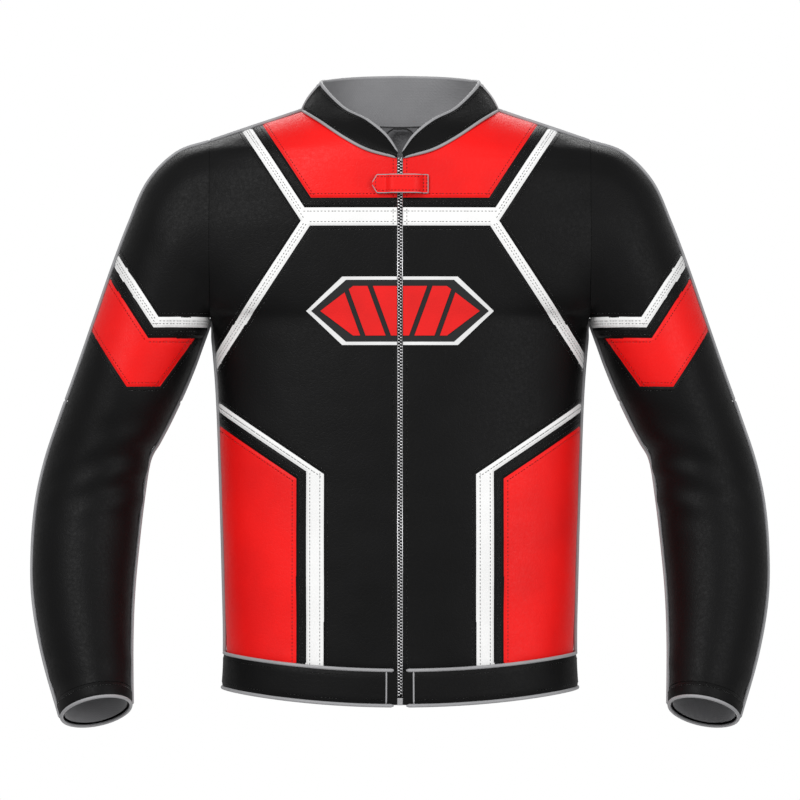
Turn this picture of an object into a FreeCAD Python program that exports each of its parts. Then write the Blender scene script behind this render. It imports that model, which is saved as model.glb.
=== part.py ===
import FreeCAD, Part
import math
import os
import sys

import Sketcher
from FreeCAD import Placement, Rotation, Vector

# Leather riding jacket, men's size L, zipped up and filled out as if it were worn.
# Millimetres. +Z is up, the front faces -Y, and the wearer's left is +X.
# The origin is the seat of the hang loop inside the back of the neck.

DIMENSIONS = {
    # leather, lining and the seams between panels
    "leather": 1.6,
    "seam_gap": 0.5,
    "lining": 1.0,
    "lining_gap": 0.8,
    "lining_loose": 14.0,
    "lining_tight": 3.4,
    "piping_wide": 3.6,
    "piping_high": 1.4,
    # the straight line of the front zip, from the neck seam to the hem
    "zip_top_y": -166.0,
    "zip_top_z": -38.0,
    "zip_drop": 607.0,
    "zip_lean": 30.0,
    "zip_long": 607.7,
    "zip_gap": 3.4,
    # armholes: two flat rings, one at each side
    "armhole_x": 213.0,
    "armhole_top": -17.0,
    "armhole_low": -214.0,
    "joint_gap": 0.7,
    # waistband
    "waist_side": -590.0,
    "waist_dip": 16.0,
    "hem_side": -629.0,
    "waist_thick": 3.0,
    "waist_proud": 0.8,
    "tab_strip_wide": 11.0,
    # yoke, chest stripe and side panels, as their lines run in the front view
    "yoke_x": 99.0,
    "yoke_low": -82.0,
    "edging_wide": 14.5,
    "stripe_wide": 12.9,
    "stripe_high": 20.0,
    "stripe_top": -93.0,
    "stripe_lean": 0.656,
    "side_stripe_x": 84.6,
    "side_stripe_wide": 19.6,
    "side_edging_wide": 11.2,
    "side_kink": -389.0,
    "side_slope": 0.667,
    # zip chain, slider and pull, in the zip's own frame
    "tape_wide": 12.0,
    "tape_thick": 0.8,
    "chain_top": -2.0,
    "tape_y": 2.3,
    "tooth_pitch": 4.0,
    "tooth_reach": 1.5,
    "chain_slit": 0.6,
    "chain_wide": 2.7,
    "chain_thick": 2.0,
    "slider_wide": 11.0,
    "slider_high": 12.0,
    "slider_plate": 1.2,
    "slider_front": -2.8,
    "slider_back": 3.8,
    "slider_top": -23.0,
    "pull_hinge_y": -4.5,
    "pull_hinge_z": -26.0,
    "pull_wide": 6.0,
    "pull_long": 11.0,
    "pull_thick": 1.4,
    "crossbar_r": 0.6,
    "eyelet_r": 0.75,
    "eyelet_outer_r": 1.4,
    "box_high": 9.0,
    # throat tab over the zip
    "throat_top": -19.0,
    "throat_high": 20.0,
    "throat_hinge_x": 24.6,
    "throat_base_end": 31.0,
    "throat_tip_x": -31.4,
    "throat_shoulder_x": -25.5,
    "throat_rise": 7.6,
    "throat_low": 2.6,
    "throat_thick": 1.8,
    "fastener_wide": 13.0,
    "fastener_thick": 0.9,
    # armour
    "armour_thick": 7.4,
    "armour_gap": 2.6,
    # hang loop
    "loop_half": 24.0,
    "loop_drop": 15.0,
    "loop_flat": 12.0,
    "loop_thick": 1.6,
    "loop_wide": 7.0,
    # badge
    "badge_half": 104.0,
    "badge_high": 76.0,
    "badge_z": -208.0,
    "badge_point": 40.0,
    "badge_thick": 1.0,
}

# Torso: height, half width, y of the back, exponent of the rounded section.
# Between the armpit and the shoulder tip the width is that of shoulder and arm together.
TORSO = [
    (-650, 199.0, 27.0, 2.5),
    (-590, 195.5, 20.0, 2.5),
    (-500, 197.0, 17.0, 2.5),
    (-400, 200.0, 25.0, 2.45),
    (-300, 204.0, 39.0, 2.4),
    (-240, 209.0, 46.0, 2.35),
    (-214, 213.0, 48.0, 2.3),
    (-204, 233.0, 48.5, 2.3),
    (-190, 256.0, 49.0, 2.3),
    (-165, 282.0, 49.0, 2.3),
    (-135, 298.0, 48.0, 2.3),
    (-108, 302.0, 46.0, 2.25),
    (-78, 290.0, 40.0, 2.1),
    (-54, 275.0, 34.0, 2.0),
    (-40, 261.0, 30.0, 1.9),
    (-27, 243.0, 25.0, 1.85),
    (-17, 213.0, 21.0, 1.8),
    (0, 163.0, 12.5, 1.75),
    (9, 136.0, 8.6, 1.75),
    (20, 104.0, 4.0, 1.75),
]

# y of the front above the top of the zip, where the chest turns back to the neck.
NECK_FRONT = [(-38, -166.0), (-17, -161.0), (0, -152.0), (20, -136.0)]

# Left sleeve rings: x and z on the outer contour, x and z on the inner contour,
# y of the middle, half depth, and how far the front of the ring stands above its back.
SLEEVE = [
    (213.0, -17, 213.0, -214, -61, 84, 0),
    (250.0, -30, 215.0, -220, -61, 83, 0),
    (282.0, -62, 218.5, -230, -62, 81, 0),
    (303.0, -108, 224.0, -245, -63, 78, 0),
    (322.0, -158, 233.0, -270, -65, 74, 2),
    (342.0, -216, 245.0, -299, -68, 70, 3),
    (362.0, -274, 259.0, -329, -71, 67, 4),
    (381.0, -327, 271.5, -353, -73, 64, 3),
    (397.0, -375, 283.0, -375, -74, 62, 0),
    (407.0, -422, 290.0, -420, -79, 60, 6),
    (411.0, -475, 295.5, -471, -90, 57, 14),
    (409.0, -531, 299.5, -523, -107, 53, 18),
    (397.0, -592, 300.5, -577, -131, 47, 19),
    (376.0, -660, 299.0, -645, -160, 42, 17),
]
ELBOW_RING = 8
CUFF_RING = 13
ARMHOLE_FADE = 7.0

# Left half of the collar, from the zip round to the middle of the back:
# x and z on the neck seam, then x, y and z on the top edge.
COLLAR = [
    (2.4, -37.6, 2.4, -164, -33.5),
    (35.0, -29.5, 15.0, -152, -13),
    (62.0, -15.5, 36.0, -138, 5.0),
    (88.0, 2.5, 63.0, -114, 20),
    (109.0, 18.0, 87.5, -69, 48),
    (92.0, 14.0, 79.0, -32, 54),
    (55.0, 10.0, 45.0, -3, 58.5),
    (0.0, 8.5, 0.0, 4, 60.0),
]
COLLAR_SIDE = 4
COLLAR_TURN = 0.35

doc = FreeCAD.newDocument("riding_jacket")
sheet = doc.addObject("Spreadsheet::Sheet", "dimensions")


def fill_sheet():
    """One row for each driving dimension: its name, then its value under an alias."""
    for row, (alias, value) in enumerate(DIMENSIONS.items(), start=1):
        sheet.set(f"A{row}", alias)
        sheet.set(f"B{row}", str(value))
        sheet.setAlias(f"B{row}", alias)
    doc.recompute()


def dim(alias):
    return float(getattr(sheet, alias))


fill_sheet()

ZIP_ANGLE = math.degrees(math.atan2(dim("zip_lean"), dim("zip_drop")))
ZIP_FRAME = Placement(
    Vector(0, dim("zip_top_y"), dim("zip_top_z")),
    Rotation(Vector(1, 0, 0), -ZIP_ANGLE),
)


# ---- curves through tables -------------------------------------------------------------


def through(table, at, key=0):
    """Values of a table's other columns at one value of its key column, on a smooth curve."""
    keys = [row[key] for row in table]
    step = 1 if keys[-1] > keys[0] else -1
    i = 0
    while i < len(table) - 2 and (at - keys[i + 1]) * step > 0:
        i += 1
    span = keys[i + 1] - keys[i]
    t = (at - keys[i]) / span

    def slope(j, column):
        low, high = max(0, j - 1), min(len(table) - 1, j + 1)
        return (table[high][column] - table[low][column]) / (keys[high] - keys[low])

    found = []
    for column in range(len(table[0])):
        a, b = table[i][column], table[i + 1][column]
        da, db = slope(i, column) * span, slope(i + 1, column) * span
        found.append(
            a * (1 + 2 * t) * (1 - t) ** 2
            + da * t * (1 - t) ** 2
            + b * t * t * (3 - 2 * t)
            + db * t * t * (t - 1)
        )
    return found


def by_index(table, at):
    """Values of all columns at a fractional row number."""
    return through([(i, *row) for i, row in enumerate(table)], at)[1:]


def ease(value):
    value = min(1.0, max(0.0, value))
    return value * value * (3 - 2 * value)


def power(value, exponent):
    return math.copysign(abs(value) ** exponent, value)


# ---- the surfaces of the jacket --------------------------------------------------------


def front_y(z):
    """y of the front on the centre line: straight along the zip, turning back above it."""
    if z > dim("zip_top_z"):
        return through(NECK_FRONT, z)[1]
    return dim("zip_top_y") - dim("zip_lean") * (dim("zip_top_z") - z) / dim("zip_drop")


def torso_section(z):
    """Half width, middle y, half depth and exponent of the torso at one height."""
    _, wide, back, exponent = through(TORSO, z)
    front = front_y(z)
    return wide, (front + back) / 2, (back - front) / 2, exponent


def torso(turn, z):
    """Outer surface of the torso. turn is 0 at the zip, 90 at the left side, 180 at the back."""
    wide, middle, deep, n = torso_section(z)
    s, c = math.sin(math.radians(turn)), math.cos(math.radians(turn))
    return Vector(wide * power(s, 2 / n), middle - deep * power(c, 2 / n), z)


def torso_y(x, z, side):
    """y of the torso at x and z: side is -1 for the front and 1 for the back."""
    wide, middle, deep, n = torso_section(z)
    share = min(1.0, abs(x) / wide)
    return middle + side * deep * (1 - share**n) ** (1 / n)


def sleeve(turn, ring):
    """Outer surface of the left sleeve. turn is 0 on the outer contour and 90 in front."""
    ox, oz, ix, iz, mid_y, deep, rise = by_index(SLEEVE, ring)
    s, c = math.sin(math.radians(turn)), math.cos(math.radians(turn))
    x = (ox + ix) / 2 + (ox - ix) / 2 * c
    z = (oz + iz) / 2 + (oz - iz) / 2 * c + rise * s
    y = mid_y - deep * s
    fade = max(0.0, 1 - ring / ARMHOLE_FADE) ** 2
    if fade:
        top, low = dim("armhole_top"), dim("armhole_low")
        hole_z = (top + low) / 2 + (top - low) / 2 * c
        on_torso = torso_y(dim("armhole_x"), hole_z, -1 if s > 0 else 1)
        plain = SLEEVE[0][4] - SLEEVE[0][5] * s
        y += fade * (on_torso - plain)
    return Vector(x, y, z)


def collar_edges(at):
    """Points on the neck seam and on the top edge of the collar's left half."""
    bx, bz, tx, ty, tz = by_index(COLLAR, at)
    backness = ease((at - COLLAR_SIDE + COLLAR_TURN) / (2 * COLLAR_TURN))
    front, back = torso_y(bx, bz, -1), torso_y(bx, bz, 1)
    return Vector(bx, front + (back - front) * backness, bz), Vector(tx, ty, tz)


def collar(at, rise):
    """Outer surface of the collar: at runs from the left end over the back to the right end."""
    last = len(COLLAR) - 1
    low, top = collar_edges(at if at <= last else 2 * last - at)
    bulge = 2.5 * math.sin(math.pi * min(1, max(0, rise)))
    point = low + (top - low) * rise
    out = Vector(point.x, point.y + 70, 0)
    out.normalize()
    point = point + out * bulge
    return point if at <= last else Vector(-point.x, point.y, point.z)


# ---- solids between two offsets of a surface -------------------------------------------


def normal(surface, u, v, du, dv, inward_point):
    """Unit normal by differences, turned away from inward_point(u, v)."""
    along_u = surface(u + du, v) - surface(u - du, v)
    along_v = surface(u, v + dv) - surface(u, v - dv)
    n = along_u.cross(along_v)
    n.normalize()
    out = surface(u, v) - inward_point(u, v)
    return n if n.dot(out) > 0 else n * -1


def level(offset, u, v):
    return offset(u, v) if callable(offset) else offset


def patch(surface, middle, us, vs, outer, inner):
    """Closed solid of the surface over the grid us by vs, between two offsets outward."""
    du, dv = (us[-1] - us[0]) * 1e-3, (vs[-1] - vs[0]) * 1e-3
    grids = {outer: [], inner: []}
    for u in us:
        for offset in grids:
            grids[offset].append([])
        for v in vs:
            point = surface(u, v)
            out = normal(surface, u, v, du, dv, middle)
            for offset in grids:
                grids[offset][-1].append(point + out * level(offset, u, v))
    sheets = []
    for offset in (outer, inner):
        fitted = Part.BSplineSurface()
        fitted.interpolate(grids[offset])
        sheets.append(fitted)
    u0, u1, v0, v1 = sheets[0].bounds()
    a0, a1, b0, b1 = sheets[1].bounds()
    pairs = [
        (sheets[0].uIso(u0), sheets[1].uIso(a0)),
        (sheets[0].uIso(u1), sheets[1].uIso(a1)),
        (sheets[0].vIso(v0), sheets[1].vIso(b0)),
        (sheets[0].vIso(v1), sheets[1].vIso(b1)),
    ]
    faces = [s.toShape() for s in sheets]
    faces += [Part.makeRuledSurface(a.toShape(), b.toShape(), 1) for a, b in pairs]
    shell = Part.makeShell(faces)
    shell.sewShape()
    solid = Part.makeSolid(shell)
    if solid.Volume < 0:
        solid.reverse()
    return solid


def steps(first, last, count):
    return [first + (last - first) * i / (count - 1) for i in range(count)]


def torso_axis(u, z):
    """A point inside the torso level with z."""
    return Vector(0, torso_section(z)[1], z - 40 * (z > -60))


def sleeve_axis(u, ring):
    return (sleeve(0, ring) + sleeve(180, ring)) * 0.5


def collar_axis(at, rise):
    return Vector(0, -70, collar(at, rise).z)


def torso_heights():
    """Grid heights: closer where the shoulder turns over."""
    low = steps(-645, -250, 11)
    high = [-232, -222, -214, -208, -200, -190, -178, -160, -140, -115, -90, -70]
    top = [-54, -44, -35, -27, -21, -15, -8, 0, 9, 20]
    return low + high + top


def prism(outline, y0=-400.0, y1=400.0):
    """A front-view outline, drawn through the jacket from y0 to y1. Points are x, z."""
    wire = Part.makePolygon([Vector(x, y0, z) for x, z in [*outline, outline[0]]])
    return Part.Face(wire).extrude(Vector(0, y1 - y0, 0))


def narrowed(outline, by):
    """The outline moved in by the given distance all round, for a seam gap."""
    area = sum(
        a[0] * b[1] - b[0] * a[1] for a, b in zip(outline, outline[1:] + outline[:1])
    )
    turn = 1 if area > 0 else -1
    found = []
    count = len(outline)
    for i in range(count):
        before, here, after = (outline[(i + k) % count] for k in (-1, 0, 1))
        one = Vector(here[0] - before[0], here[1] - before[1], 0)
        two = Vector(after[0] - here[0], after[1] - here[1], 0)
        one.normalize()
        two.normalize()
        n1, n2 = Vector(-one.y, one.x, 0) * turn, Vector(-two.y, two.x, 0) * turn
        bisector = n1 + n2
        bisector = bisector * (2 / bisector.dot(bisector))
        found.append((here[0] + bisector.x * by, here[1] + bisector.y * by))
    return found


def panel(sheets, outline, gap=None):
    """The parts of the given shells inside a front-view outline, as separate solids."""
    gap = dim("seam_gap") / 2 if gap is None else gap
    knife = prism(narrowed(outline, gap))
    solids = []
    for whole in sheets:
        solids += whole.common(knife).Solids
    return Part.makeCompound(solids)


def mirrored(shape):
    return shape.mirror(Vector(0, 0, 0), Vector(1, 0, 0))


def store(label, shape, placement=None):
    """A document object of its own for a shape that Part's functions made."""
    feature = doc.addObject("Part::Feature", label)
    feature.Label = label
    feature.Shape = shape
    if placement is not None:
        feature.Placement = placement
    SUBPARTS.append(feature)
    return feature


def store_pair(name, shape):
    """The left piece and its mirror image on the right."""
    store(f"{name}_left", shape)
    store(f"{name}_right", mirrored(shape))


SUBPARTS = []


# ---- torso panels ----------------------------------------------------------------------


def torso_shells(outer, inner, front_from=None):
    """Left front half and whole back of the torso, trimmed to armholes and seams."""
    heights = torso_heights()
    front = patch(torso, torso_axis, steps(-6, 90, 19), heights, outer, inner)
    back = patch(torso, torso_axis, steps(90, 270, 33), heights, outer, inner)
    edge = dim("zip_gap") if front_from is None else front_from
    side = dim("armhole_x") - dim("joint_gap") / 2
    front = front.common(Part.makeBox(side - edge, 400, 800, Vector(edge, -400, -700)))
    back = back.common(Part.makeBox(2 * side, 400, 800, Vector(-side, -200, -700)))
    return front, back


def arc_z(x, level_z, half):
    """Height of a waist line at x, dipping to the middle of the front."""
    return level_z - dim("waist_dip") * (1 - (x / half) ** 2)


def waist_face(top_z, low_z, top_half, y0, y1):
    """Front-view band between two waist lines, bounded above and below by arcs."""
    half = top_half + 20

    def arc(level_z):
        ends = [Vector(side * half, y0, arc_z(half, level_z, top_half)) for side in (-1, 1)]
        return Part.Arc(ends[0], Vector(0, y0, arc_z(0, level_z, top_half)), ends[1])

    top, low = arc(top_z), arc(low_z)
    sides = [
        Part.LineSegment(top.value(top.FirstParameter), low.value(low.FirstParameter)),
        Part.LineSegment(top.value(top.LastParameter), low.value(low.LastParameter)),
    ]
    edges = [top.toShape(), sides[1].toShape(), low.toShape(), sides[0].toShape()]
    wire = Part.Wire(Part.__sortEdges__(edges))
    return Part.Face(wire).extrude(Vector(0, y1 - y0, 0))


def split_front_back(z_top, z_low, half):
    """Knives for a waist-high band: curved in front, level behind."""
    middle = torso_section((z_top + z_low) / 2)[1]
    front = waist_face(z_top, z_low, half, -400, middle)
    back = Part.makeBox(600, 400, z_top - z_low, Vector(-300, middle, z_low))
    return front, back


def neck_outline():
    """Front-view outline of the body below the neck seam, left half of the front."""
    seam = [by_index(COLLAR, i / 4)[:2] for i in range(0, COLLAR_SIDE * 4 + 1)]
    return [(x, z) for x, z in seam]


def body_blank():
    """Leather of the left front and of the back between neck seam and waist seam."""
    front, back = torso_shells(0.0, -dim("leather"))
    neck = neck_outline()
    outline = [(-5, neck[0][1])] + neck + [(119, 13), (260, -30), (260, -560)]
    low = dim("waist_side") + dim("piping_wide") / 2
    front_knife, back_knife = split_front_back(low + 600, low, 196)
    front = front.common(prism([*outline, (260, -640), (-5, -640)])).common(front_knife)
    behind = [by_index(COLLAR, len(COLLAR) - 1 - i / 3)[:2] for i in range(0, 10)]
    top = [(x, z) for x, z in behind] + [(119, 13), (260, -30), (260, -640)]
    whole = top + [(-x, z) for x, z in reversed(top)][:-1]
    back = back.common(prism(whole)).common(back_knife)
    return front, back


def chest_outlines():
    """Front-view outlines of the yoke, its edging, the chest stripe and what lies round it."""
    lean = dim("stripe_lean")
    low, high = dim("yoke_low"), 60.0
    top, bottom = dim("stripe_top"), dim("stripe_top") - dim("stripe_high")
    red = dim("yoke_x")
    inner = red + dim("edging_wide")
    outer = inner + dim("stripe_wide")

    def up(x, z):
        return (x + lean * (z - low), z)

    kink_x = outer + lean * (top - low) - 9
    kink_z = top - 14.6
    reach = 330.0
    under = dim("stripe_wide") + 0.6
    yoke = [(-9, low), (red, low), up(red, high), (-9, high)]
    edging = [(-9, low), (red, low), up(red, high), up(inner, high), up(inner, top), (-9, top)]
    down_outer = (kink_x + lean * reach, kink_z - reach)
    down_inner = (down_outer[0] - under, down_outer[1])
    corner_in = (kink_x - under - lean * (bottom - kink_z), bottom)
    stripe = [
        (-9, bottom),
        corner_in,
        down_inner,
        down_outer,
        (kink_x, kink_z),
        up(outer, high),
        up(inner, high),
        up(inner, top),
        (-9, top),
    ]
    shoulder = [(kink_x, kink_z), down_outer, (400, down_outer[1]), (400, high), up(outer, high)]
    return yoke, edging, stripe, shoulder, corner_in, down_inner


def side_outlines():
    """Front-view outlines of the side stripe, its edging and the side panel."""
    x0, slope = dim("side_stripe_x"), dim("side_slope")
    x1 = x0 + dim("side_stripe_wide")
    x2 = x1 + dim("side_edging_wide")
    floor = -700.0
    reach = 240.0

    def outward(x, z):
        return (reach, z + slope * (reach - x))

    kinks = [(x0, dim("side_kink")), (x1, dim("side_kink") + 3), (x2, dim("side_kink") - 5)]
    far = [outward(*kink) for kink in kinks]
    stripe = [(x0, floor), kinks[0], far[0], far[1], kinks[1], (x1, floor)]
    edging = [(x1, floor), kinks[1], far[1], far[2], kinks[2], (x2, floor)]
    red = [(x2, floor), kinks[2], far[2], (reach, floor)]
    return stripe, edging, red, kinks[0], far[0]


def mirror_outline(outline):
    return [(-x, z) for x, z in reversed(outline)]


def torso_panels():
    front, back = body_blank()
    yoke, edging, stripe, shoulder, corner_in, down_inner = chest_outlines()
    side_stripe, side_edging, side_red, kink, far = side_outlines()
    main = [(-9, corner_in[1]), corner_in, down_inner, far, kink, (kink[0], -700), (-9, -700)]

    store_pair("yoke", panel([front], yoke))
    store("back_yoke", panel([back], yoke[1:3] + mirror_outline(yoke[1:3])))
    left_edging = panel([front], edging)
    behind = edging[1:5] + mirror_outline(edging[1:5])
    back_edging = panel([back], behind)
    store("yoke_edging", Part.makeCompound([left_edging, mirrored(left_edging), back_edging]))
    store_pair("chest_stripe", panel([front], stripe))
    back_outline = stripe[1:8] + mirror_outline(stripe[1:8])
    store("back_stripe", panel([back], back_outline))
    store_pair("chest_panel", panel([front], main))
    back_main = main[1:6] + mirror_outline(main[1:6])
    store("back_panel", panel([back], back_main))
    store_pair("shoulder_panel", panel([front, back], shoulder))
    store_pair("side_stripe", panel([front, back], side_stripe))
    edge = panel([front, back], side_edging)
    store("side_edging", Part.makeCompound([edge, mirrored(edge)]))
    store_pair("side_panel", panel([front, back], side_red))


# ---- waistband, piping and lining ------------------------------------------------------


def waistband():
    proud = dim("waist_proud")
    front, back = torso_shells(proud, proud - dim("waist_thick"))
    cord = dim("piping_wide") / 2
    knives = split_front_back(dim("waist_side") - cord, dim("hem_side") + cord, 196)
    strip_edge = dim("zip_gap") + dim("tab_strip_wide")
    front = front.common(knives[0])
    block = Part.makeBox(300, 400, 800, Vector(strip_edge + dim("seam_gap"), -400, -700))
    store_pair("waistband", Part.makeCompound(front.common(block).Solids))
    strip = Part.makeBox(strip_edge, 400, 800, Vector(0, -400, -700))
    tab = front.common(strip).Solids[0]
    store("waistband_tabs", Part.makeCompound([tab, mirrored(tab)]))
    store("waistband_back", Part.makeCompound(back.common(knives[1]).Solids))


def trim_piping():
    """Raised piping on the collar's seam and edge, the waist seam and the hem."""
    wide, high = dim("piping_wide"), dim("piping_high")
    front, back = torso_shells(high + 0.4, -dim("leather"), front_from=8.0)
    solids = []
    for level_z in (dim("waist_side"), dim("hem_side")):
        low = level_z - wide / 2 + dim("seam_gap") / 2
        knives = split_front_back(low + wide - dim("seam_gap"), low, 196)
        band = front.common(knives[0])
        solids += band.Solids + mirrored(band).Solids + back.common(knives[1]).Solids
    middle = len(COLLAR) - 1
    seam = steps(0.06, middle - 0.005, 29)
    base = patch(collar, collar_axis, seam, [0.0, 0.05], high + 0.6, 0.9)
    edge = steps(0.06, 2 * middle - 0.06, 57)
    top = patch(collar, collar_axis, edge, steps(0.965, 0.999, 4), high + 0.6, 0.9)
    return solids + [base, mirrored(base), top]


# ---- sleeves ---------------------------------------------------------------------------


def sleeve_shells(first, last, outer, inner, count):
    """Front and back halves of the left sleeve between two rings."""
    rings = steps(first, last, count)
    seam = 0.4
    front = patch(sleeve, sleeve_axis, steps(seam, 180 - seam, 17), rings, outer, inner)
    back = patch(sleeve, sleeve_axis, steps(180 + seam, 360 - seam, 17), rings, outer, inner)
    return [front, back]


def sleeve_outlines():
    """Front-view outlines of the sleeve's cap, stripe, chevron and the leather round it."""
    far = 420.0
    lean = 0.667
    stripe_top, stripe_low = -214.5, -226.0
    top_kink, low_kink = (269.0, stripe_top), (274.5, stripe_low)

    def up(x, z):
        return (far, z + (far - x) / lean)

    cap = [(200, 20), (200, stripe_top), top_kink, up(*top_kink), (far, 20)]
    stripe = [(200, stripe_top), (200, stripe_low), low_kink]
    stripe += [up(*low_kink), up(*top_kink), top_kink]
    red_kink = (280.5, -238.0)
    low_out, low_in = (304.5, -292.0), (268.5, -292.0)
    red = [(229.5, -238.0), low_in, low_out, up(*low_out), up(*red_kink), red_kink]
    above = [(200, stripe_low), (200, -238.0), (229.5, -238.0), red_kink, up(*red_kink)]
    above += [up(*low_kink), low_kink]
    below = [(200, -238.0), (200, -420), (far, -420), up(*low_out)]
    below += [low_out, low_in, (229.5, -238.0)]
    return cap, stripe, red, above, below


def sleeves():
    gap = dim("joint_gap") / 2
    skins = sleeve_shells(0.0, ELBOW_RING, 0.0, -dim("leather"), 25)
    hole = Part.makeBox(400, 600, 800, Vector(dim("armhole_x") + gap, -400, -700))
    above_elbow = Part.makeBox(800, 600, 800, Vector(0, -400, SLEEVE[ELBOW_RING][1] + gap))
    skins = [s.common(hole).common(above_elbow) for s in skins]
    cap, stripe, red, above, below = sleeve_outlines()
    store_pair("sleeve_cap", panel(skins, cap))
    store_pair("sleeve_stripe", panel(skins, stripe))
    store_pair("sleeve_chevron", panel(skins, red))
    middle = panel(skins, above).Solids + panel(skins, below).Solids
    store_pair("sleeve_middle", Part.makeCompound(middle))

    elbow_z = SLEEVE[ELBOW_RING][1]
    below_elbow = Part.makeBox(800, 600, 800, Vector(0, -400, elbow_z - gap - 800))
    cuff_start = CUFF_RING - 0.22
    fore = sleeve_shells(ELBOW_RING, cuff_start, 0.0, -dim("leather"), 19)
    store_pair("forearm", Part.makeCompound([s.common(below_elbow) for s in fore]))
    cuff = sleeve_shells(cuff_start + 0.01, CUFF_RING, 0.8, -dim("waist_thick"), 4)
    store_pair("cuff", Part.makeCompound(cuff))

    upper_lining = sleeve_shells(0.5, ELBOW_RING - 0.1, sleeve_slack, sleeve_slack_in, 19)
    store_pair("upper_sleeve_lining", Part.makeCompound(upper_lining))
    first, last = ELBOW_RING + 0.1, CUFF_RING - 0.25
    fore_lining = sleeve_shells(first, last, sleeve_slack, sleeve_slack_in, 15)
    store_pair("forearm_lining", Part.makeCompound(fore_lining))


def sleeve_slack(turn, ring):
    """How far the sleeve lining hangs inside the leather: close only at the cuff."""
    loose = dim("lining_loose") - 1
    tight = dim("lining_tight")
    share = ease((CUFF_RING - ring) / 2.5)
    return -(tight + (loose - tight) * share)


def sleeve_slack_in(turn, ring):
    return sleeve_slack(turn, ring) - dim("lining")


def body_slack(turn, z):
    """How far the body lining hangs inside the leather: close at neck and hem."""
    loose, tight = dim("lining_loose"), dim("lining_tight") + 0.6
    share = ease((z + 640) / 90) * ease((-40 - z) / 60)
    return -(tight + (loose - tight) * share)


def body_slack_in(turn, z):
    return body_slack(turn, z) - dim("lining")


def body_lining():
    front, back = torso_shells(body_slack, body_slack_in, front_from=16.0)
    knives = split_front_back(40.0, dim("hem_side") + 5, 196)
    neck = [(x + 4, z - 4) for x, z in neck_outline()]
    outline = [(0, neck[0][1])] + neck[:-3] + [(112, -8), (260, -60), (260, -660), (0, -660)]
    front = front.common(prism(outline)).common(knives[0])
    behind = [by_index(COLLAR, len(COLLAR) - 1 - i / 3)[:2] for i in range(0, 10)]
    top = [(x, z - 4) for x, z in behind[:-1]] + [(112, -8), (260, -60), (260, -660)]
    whole = top + [(-x, z) for x, z in reversed(top)][:-1]
    back = back.common(prism(whole)).common(knives[1])
    solids = front.Solids + mirrored(front).Solids + back.Solids
    store("body_lining", Part.makeCompound(solids))


def armour():
    """Protector plates between leather and lining: back, shoulders and elbows."""
    outer = -dim("armour_gap")
    inner = outer - dim("armour_thick")
    plate = patch(torso, torso_axis, steps(154, 206, 15), steps(-440, -120, 13), outer, inner)
    store("back_protector", plate)
    shoulder = patch(sleeve, sleeve_axis, steps(-46, 46, 11), steps(0.75, 3.6, 9), outer, inner)
    store_pair("shoulder_pad", shoulder)
    turns = steps(268, 352, 9)
    elbow = patch(sleeve, sleeve_axis, turns, steps(ELBOW_RING + 0.25, 11, 9), outer, inner)
    store_pair("elbow_pad", elbow)


# ---- collar and badge ------------------------------------------------------------------


def collar_band():
    last = 2 * (len(COLLAR) - 1)
    ats = steps(0.05, last - 0.05, 57)
    rises = steps(0.06, 0.955, 7)
    store("collar", patch(collar, collar_axis, ats, rises, 0.8, -0.8))
    inner = steps(0.12, last - 0.12, 57)
    gap = -0.8 - dim("lining_gap")
    store("collar_lining", patch(collar, collar_axis, inner, rises, gap, gap - dim("lining")))


def chest_badge():
    """A plain six-sided badge laid on the chest, cut in two by the zip."""
    front, _ = torso_shells(dim("badge_thick"), 0.05)
    half, high, z = dim("badge_half"), dim("badge_high") / 2, dim("badge_z")
    outline = [(0, z - high), (half - dim("badge_point"), z - high), (half, z)]
    outline += [(half - dim("badge_point"), z + high), (0, z + high)]
    side = front.common(prism(outline)).Solids[0]
    store("chest_badge", Part.makeCompound([side, mirrored(side)]))


# ---- small hardware, drawn in the zip's own frame ---------------------------------------


def body_with(label, placement=None):
    body = doc.addObject("PartDesign::Body", label)
    body.Label = label
    if placement is not None:
        body.Placement = placement
    SUBPARTS.append(body)
    return body


def plane(body, role):
    return next(f for f in body.Origin.OriginFeatures if f.Role == role)


def sketch_on(body, role, name, offset=None):
    sketch = body.newObject("Sketcher::SketchObject", name)
    sketch.AttachmentSupport = [(plane(body, role), "")]
    sketch.MapMode = "FlatFace"
    if offset is not None:
        sketch.AttachmentOffset = Placement(Vector(0, 0, offset), Rotation())
    return sketch


def outline_in(sketch, points):
    """A closed loop of straight lines through the points, tied end to end."""
    first, count = sketch.GeometryCount, len(points)
    for i in range(count):
        ends = [Vector(*points[i], 0), Vector(*points[(i + 1) % count], 0)]
        sketch.addGeometry(Part.LineSegment(*ends), False)
    for i in range(count):
        after = first + (i + 1) % count
        sketch.addConstraint(Sketcher.Constraint("Coincident", first + i, 2, after, 1))


def pad(body, sketch, name, length, symmetric=False, reverse=False):
    """A pad whose length is bound to the sheet: length is an expression."""
    feature = body.newObject("PartDesign::Pad", name)
    feature.Profile = sketch
    feature.setExpression("Length", length)
    feature.Midplane = symmetric
    feature.Reversed = reverse
    doc.recompute()
    return feature


def block(name, size, corner):
    """A Part::Box with its size and corner bound to the sheet by expressions."""
    box = doc.addObject("Part::Box", name)
    for prop, text in zip(("Length", "Width", "Height"), size):
        box.setExpression(prop, text)
    for prop, text in zip("xyz", corner):
        box.setExpression(f"Placement.Base.{prop}", text)
    return box


D = "dimensions."


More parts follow.
